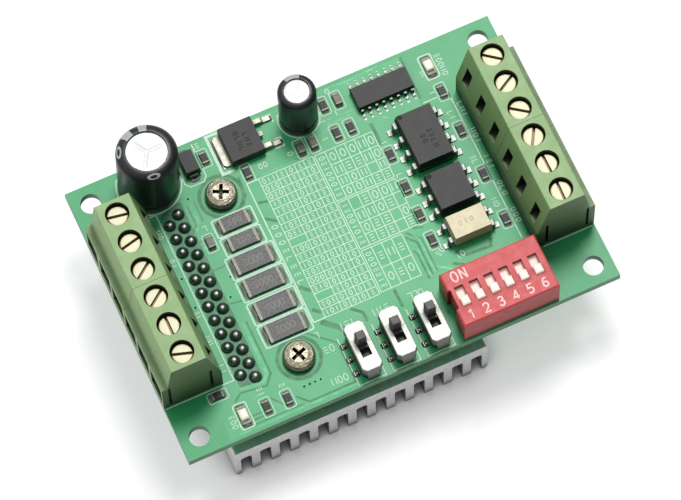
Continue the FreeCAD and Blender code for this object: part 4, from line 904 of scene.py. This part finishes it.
def make_can_top(name, cap, depth, first):
    """The bright end of a can with its three-armed vent score; first is the angle of an arm in degrees."""
    reach = cap.radius * LIP - 0.02
    top = cap.height - 0.32
    turns, circles = 96, 22
    piece = Piece(name)
    arms = [math.radians(first + 120 * arm) for arm in range(3)]
    rings = [[(*point, top - 0.2) for point in circle(cap.x, cap.y, reach, turns)]]
    for level in range(circles, 0, -1):
        distance = reach * level / circles
        dome = 0.12 * (1 - (distance / reach) ** 2)
        ring = []
        for side_x, side_y in circle(0.0, 0.0, distance, turns):
            groove = 0.0
            for arm in arms:
                along = side_x * math.cos(arm) + side_y * math.sin(arm)
                across = abs(-side_x * math.sin(arm) + side_y * math.cos(arm))
                if 0 < along < reach * 0.8:
                    groove = max(groove, math.exp(-(across / (0.06 * cap.radius)) ** 2))
            ring.append((cap.x + side_x, cap.y + side_y, top + dome - depth * groove))
        rings.append(ring)
    piece.loft(rings)
    if cap.lean:
        piece.tilt(cap)
    piece.make("can_aluminium", "can_aluminium")


# ---- switch and chip marks

# Strokes of each mark in a unit box.
STROKES = {
    "1": [[(0.1, 0.75), (0.5, 1.0), (0.5, 0.0)]],
    "2": [[(0.0, 0.78), (0.15, 0.96), (0.5, 1.0), (0.8, 0.88), (0.85, 0.66), (0.7, 0.45), (0.0, 0.0),
           (0.9, 0.0)]],
    "3": [[(0.05, 0.88), (0.4, 1.0), (0.75, 0.9), (0.8, 0.68), (0.6, 0.54), (0.35, 0.52)],
          [(0.6, 0.52), (0.85, 0.38), (0.85, 0.18), (0.6, 0.02), (0.25, 0.0), (0.0, 0.14)]],
    "4": [[(0.9, 0.26), (0.0, 0.26), (0.62, 1.0)], [(0.62, 1.0), (0.62, 0.0)]],
    "5": [[(0.82, 1.0), (0.12, 1.0), (0.06, 0.56), (0.45, 0.62), (0.8, 0.48), (0.85, 0.24), (0.62, 0.03),
           (0.25, 0.0), (0.0, 0.12)]],
    "6": [[(0.78, 0.92), (0.5, 1.0), (0.2, 0.84), (0.05, 0.5), (0.05, 0.22), (0.25, 0.02), (0.55, 0.0),
           (0.82, 0.16), (0.84, 0.38), (0.6, 0.56), (0.3, 0.54), (0.18, 0.44)]],
    "O": [[(0.45 + 0.42 * math.cos(math.pi * step / 8), 0.5 + 0.5 * math.sin(math.pi * step / 8))
           for step in range(17)]],
    "N": [[(0.05, 0.0), (0.05, 1.0)], [(0.05, 1.0), (0.85, 0.0)], [(0.85, 0.0), (0.85, 1.0)]],
}


def write_mark(piece, mark, x, y, tall, top):
    """Draw a mark on a face at the height top; each stroke is a little higher than the last."""
    for index, path in enumerate(STROKES[mark]):
        piece.ribbon([(x + a * tall * 0.66, y + b * tall) for a, b in path], 0.26, top - 0.02,
                     top + 0.02 + index * 0.003)


def make_switch_marks():
    """Slot numbers and the ON mark on the red switch."""
    low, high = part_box("dip_switch_housing")
    left, front = (low.x - board_low.x) / MM, (low.y - board_low.y) / MM
    top = (high.z - board_high.z) / MM
    piece = Piece("switch_marks")
    for index in range(6):
        slot = left + FIRST_SLOT + LEAD_PITCH * index
        write_mark(piece, str(index + 1), slot - 0.42, front + 0.75, 1.55, top)
    for index, mark in enumerate("ON"):
        write_mark(piece, mark, left + 1.5 + 1.5 * index, front + 7.45, 1.75, top)
    piece.make("switch_print", "switch_red", smooth=False)


def make_chip_marks():
    """Rows of generic marks and pin-one dots on the moulded chips."""
    piece = Piece("chip_marks")
    for x, y, top, count in ((57.2, 31.2, CHIP_TOP, 4), (55.9, 32.6, CHIP_TOP, 2),
                             (30.3, 44.6, REGULATOR_TOP, 3), (28.9, 44.4, REGULATOR_TOP, 4)):
        scribble(piece, x, y, count, 0.8, 0.95, UP, 0.14, top - 0.02, top + 0.012)
    for y in (38.0, 26.7):
        piece.lathe(53.8, y, [(0.42, CHIP_TOP - 0.02), (0.42, CHIP_TOP + 0.012)], 20)
    piece.make("chip_print", "chip_black", smooth=False)
    cream = Piece("cream_chip_marks")
    scribble(cream, 55.0, 17.5, 3, 0.8, 1.0, 0.0, 0.12, CREAM_CHIP_TOP - 0.02, CREAM_CHIP_TOP + 0.012)
    cream.make("cream_print", "chip_cream", smooth=False)


def make_diode_leads():
    """Flat leads that wrap under the diode's two ends."""
    piece = Piece("diode_leads")
    for y, side in ((44.05, -1), (48.05, 1)):
        piece.block(DIODE_X, y + side * 0.12, 1.5, 0.24, 0.05, 1.15, 0.03)
        piece.block(DIODE_X, y + side * 0.35, 1.5, 0.7, 0.03, 0.25, 0.03)
    piece.make("plated_end", "contact_metal")


# ---- stage

CAD_FINISH = {
    "circuit_board": "board_mask", "heatsink": "sink_aluminium", "driver_chip": "chip_black",
    "driver_chip_leads": "contact_metal", "heatsink_screws": "plated_screw",
    "left_terminal_housings": "terminal_green", "right_terminal_housings": "terminal_green",
    "terminal_contacts": "contact_metal", "dip_switch_housing": "switch_red",
    "dip_switch_base": "switch_red_base", "dip_switch_pins": "contact_metal",
    "slide_switch_covers": "slide_cover", "slide_switch_bases": "switch_black",
    "slide_switch_leads": "contact_metal", "capacitor_cans": "can_aluminium",
    "capacitor_sleeves": "sleeve_black", "capacitor_leads": "contact_metal", "logic_chip": "chip_black",
    "dark_optocouplers": "chip_black", "cream_optocoupler": "chip_cream", "chip_leads": "chip_lead",
    "regulator_body": "chip_black", "regulator_leads": "regulator_tab",
    "sense_resistors": "resistor_ceramic", "chip_components": "resistor_ceramic",
    "rectifier_diode": "chip_black", "indicator_lights": "light_clear",
}
MOVING_FINISH = {"terminal_screw": "terminal_screw", "clamp_cage": "clamp_metal",
                 "dip_slider": "slider_white", "slide_knob": "knob_black"}


def finish_cad():
    """Give each CAD node its finish."""
    for name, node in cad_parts.items():
        chosen = CAD_FINISH.get(name)
        for prefix, moving in MOVING_FINISH.items():
            if name.startswith(prefix):
                chosen = moving
        if not node.material_slots:
            node.data.materials.append(None)
        for material_slot in node.material_slots:
            material_slot.material = FINISHES[chosen]


CAMERA_AZIMUTH = -21.2
CAMERA_ELEVATION = 68.3
CAMERA_ROLL = -3.4
CAMERA_DISTANCE = 0.7017
CAMERA_AIM = (-0.08 * MM, -2.48 * MM)
LENS = 231.9
SENSOR = 36.0


def make_camera():
    """A camera above the front left, rolled a little, about 0.7 m away."""
    data = bpy.data.cameras.new("camera")
    data.lens = LENS
    data.sensor_width = SENSOR
    data.clip_start, data.clip_end = 0.01, 20.0
    camera = bpy.data.objects.new("camera", data)
    bpy.context.scene.collection.objects.link(camera)
    turn = Euler((math.radians(90 - CAMERA_ELEVATION), 0.0, math.radians(CAMERA_AZIMUTH)), "XYZ").to_matrix()
    roll = Euler((0.0, 0.0, math.radians(CAMERA_ROLL)), "XYZ").to_matrix()
    heading = turn @ roll
    centre = (board_low + board_high) / 2
    centre.z = board_high.z
    camera.matrix_world = heading.to_4x4()
    camera.location = centre + heading @ Vector((*CAMERA_AIM, CAMERA_DISTANCE))
    bpy.context.scene.camera = camera


FLOOR_SPAN, FLOOR_GREY, FLOOR_GLOW = 3.0, 0.62, 0.4
SKY_SIDE = (-0.3, 0.45, 0.85)
SKY_DIM, SKY_BRIGHT = 0.08, 1.0
KEY_DIRECTION = (0.2, 0.31, 0.93)
KEY_DISTANCE, KEY_SIZE, KEY_POWER = 0.9, 0.3, 5.6
KEY_AIM = (0, 0, 0.015)


def make_floor():
    """A pale sheet that glows a little, except close to the object, where the glow fades as painted shade.
    """
    mesh = bpy.data.meshes.new("floor")
    corners = ((-1, -1), (1, -1), (1, 1), (-1, 1))
    mesh.from_pydata([(a * FLOOR_SPAN, b * FLOOR_SPAN, 0) for a, b in corners], [], [(0, 1, 2, 3)])
    floor = bpy.data.objects.new("floor", mesh)
    paper = surface("pale_floor", (FLOOR_GREY,) * 3, 0.7, mottle=(0.01, 60.0), specular=0.1)
    nodes, links = paper.node_tree.nodes, paper.node_tree.links
    shader = nodes["Principled BSDF"]
    shader.inputs["Emission Color"].default_value = (1.0, 1.0, 1.0, 1.0)
    links.new(openness(nodes, links, 6, 16, 0.3, 0.9, FLOOR_GLOW), shader.inputs["Emission Strength"])
    mesh.materials.append(paper)
    bpy.context.scene.collection.objects.link(floor)


def make_sky():
    """A white room that is brightest up and behind the object."""
    world = bpy.data.worlds.new("studio")
    bpy.context.scene.world = world
    world.use_nodes = True
    nodes, links = world.node_tree.nodes, world.node_tree.links
    towards = nodes.new("ShaderNodeVectorMath")
    towards.operation = "DOT_PRODUCT"
    towards.inputs[1].default_value = Vector(SKY_SIDE).normalized()
    links.new(nodes.new("ShaderNodeTexCoord").outputs["Generated"], towards.inputs[0])
    glow = ramp(nodes, links, towards.outputs["Value"], 0.0, 1.0, SKY_DIM, SKY_BRIGHT)
    links.new(glow, nodes["Background"].inputs["Strength"])
    nodes["Background"].inputs["Color"].default_value = (1.0, 1.0, 1.0, 1.0)


def make_key_light():
    data = bpy.data.lights.new("key", "AREA")
    data.shape = "DISK"
    data.size = KEY_SIZE
    data.energy = KEY_POWER
    light = bpy.data.objects.new("key", data)
    way = Vector(KEY_DIRECTION).normalized()
    light.location = Vector(KEY_AIM) + way * KEY_DISTANCE
    light.rotation_mode = "QUATERNION"
    light.rotation_quaternion = way.to_track_quat("Z", "Y")
    bpy.context.scene.collection.objects.link(light)


make_camera()
finish_cad()
make_copper()
make_silkscreen()
make_pin_solder()
make_underside_solder()
make_surface_solder()
make_small_parts()
make_sense_resistors()
make_lights()
make_capacitor_sleeves()
make_capacitor_details()
make_switch_marks()
make_chip_marks()
make_diode_leads()
make_floor()
make_sky()
make_key_light()
bpy.context.scene.view_settings.view_transform = "Standard"
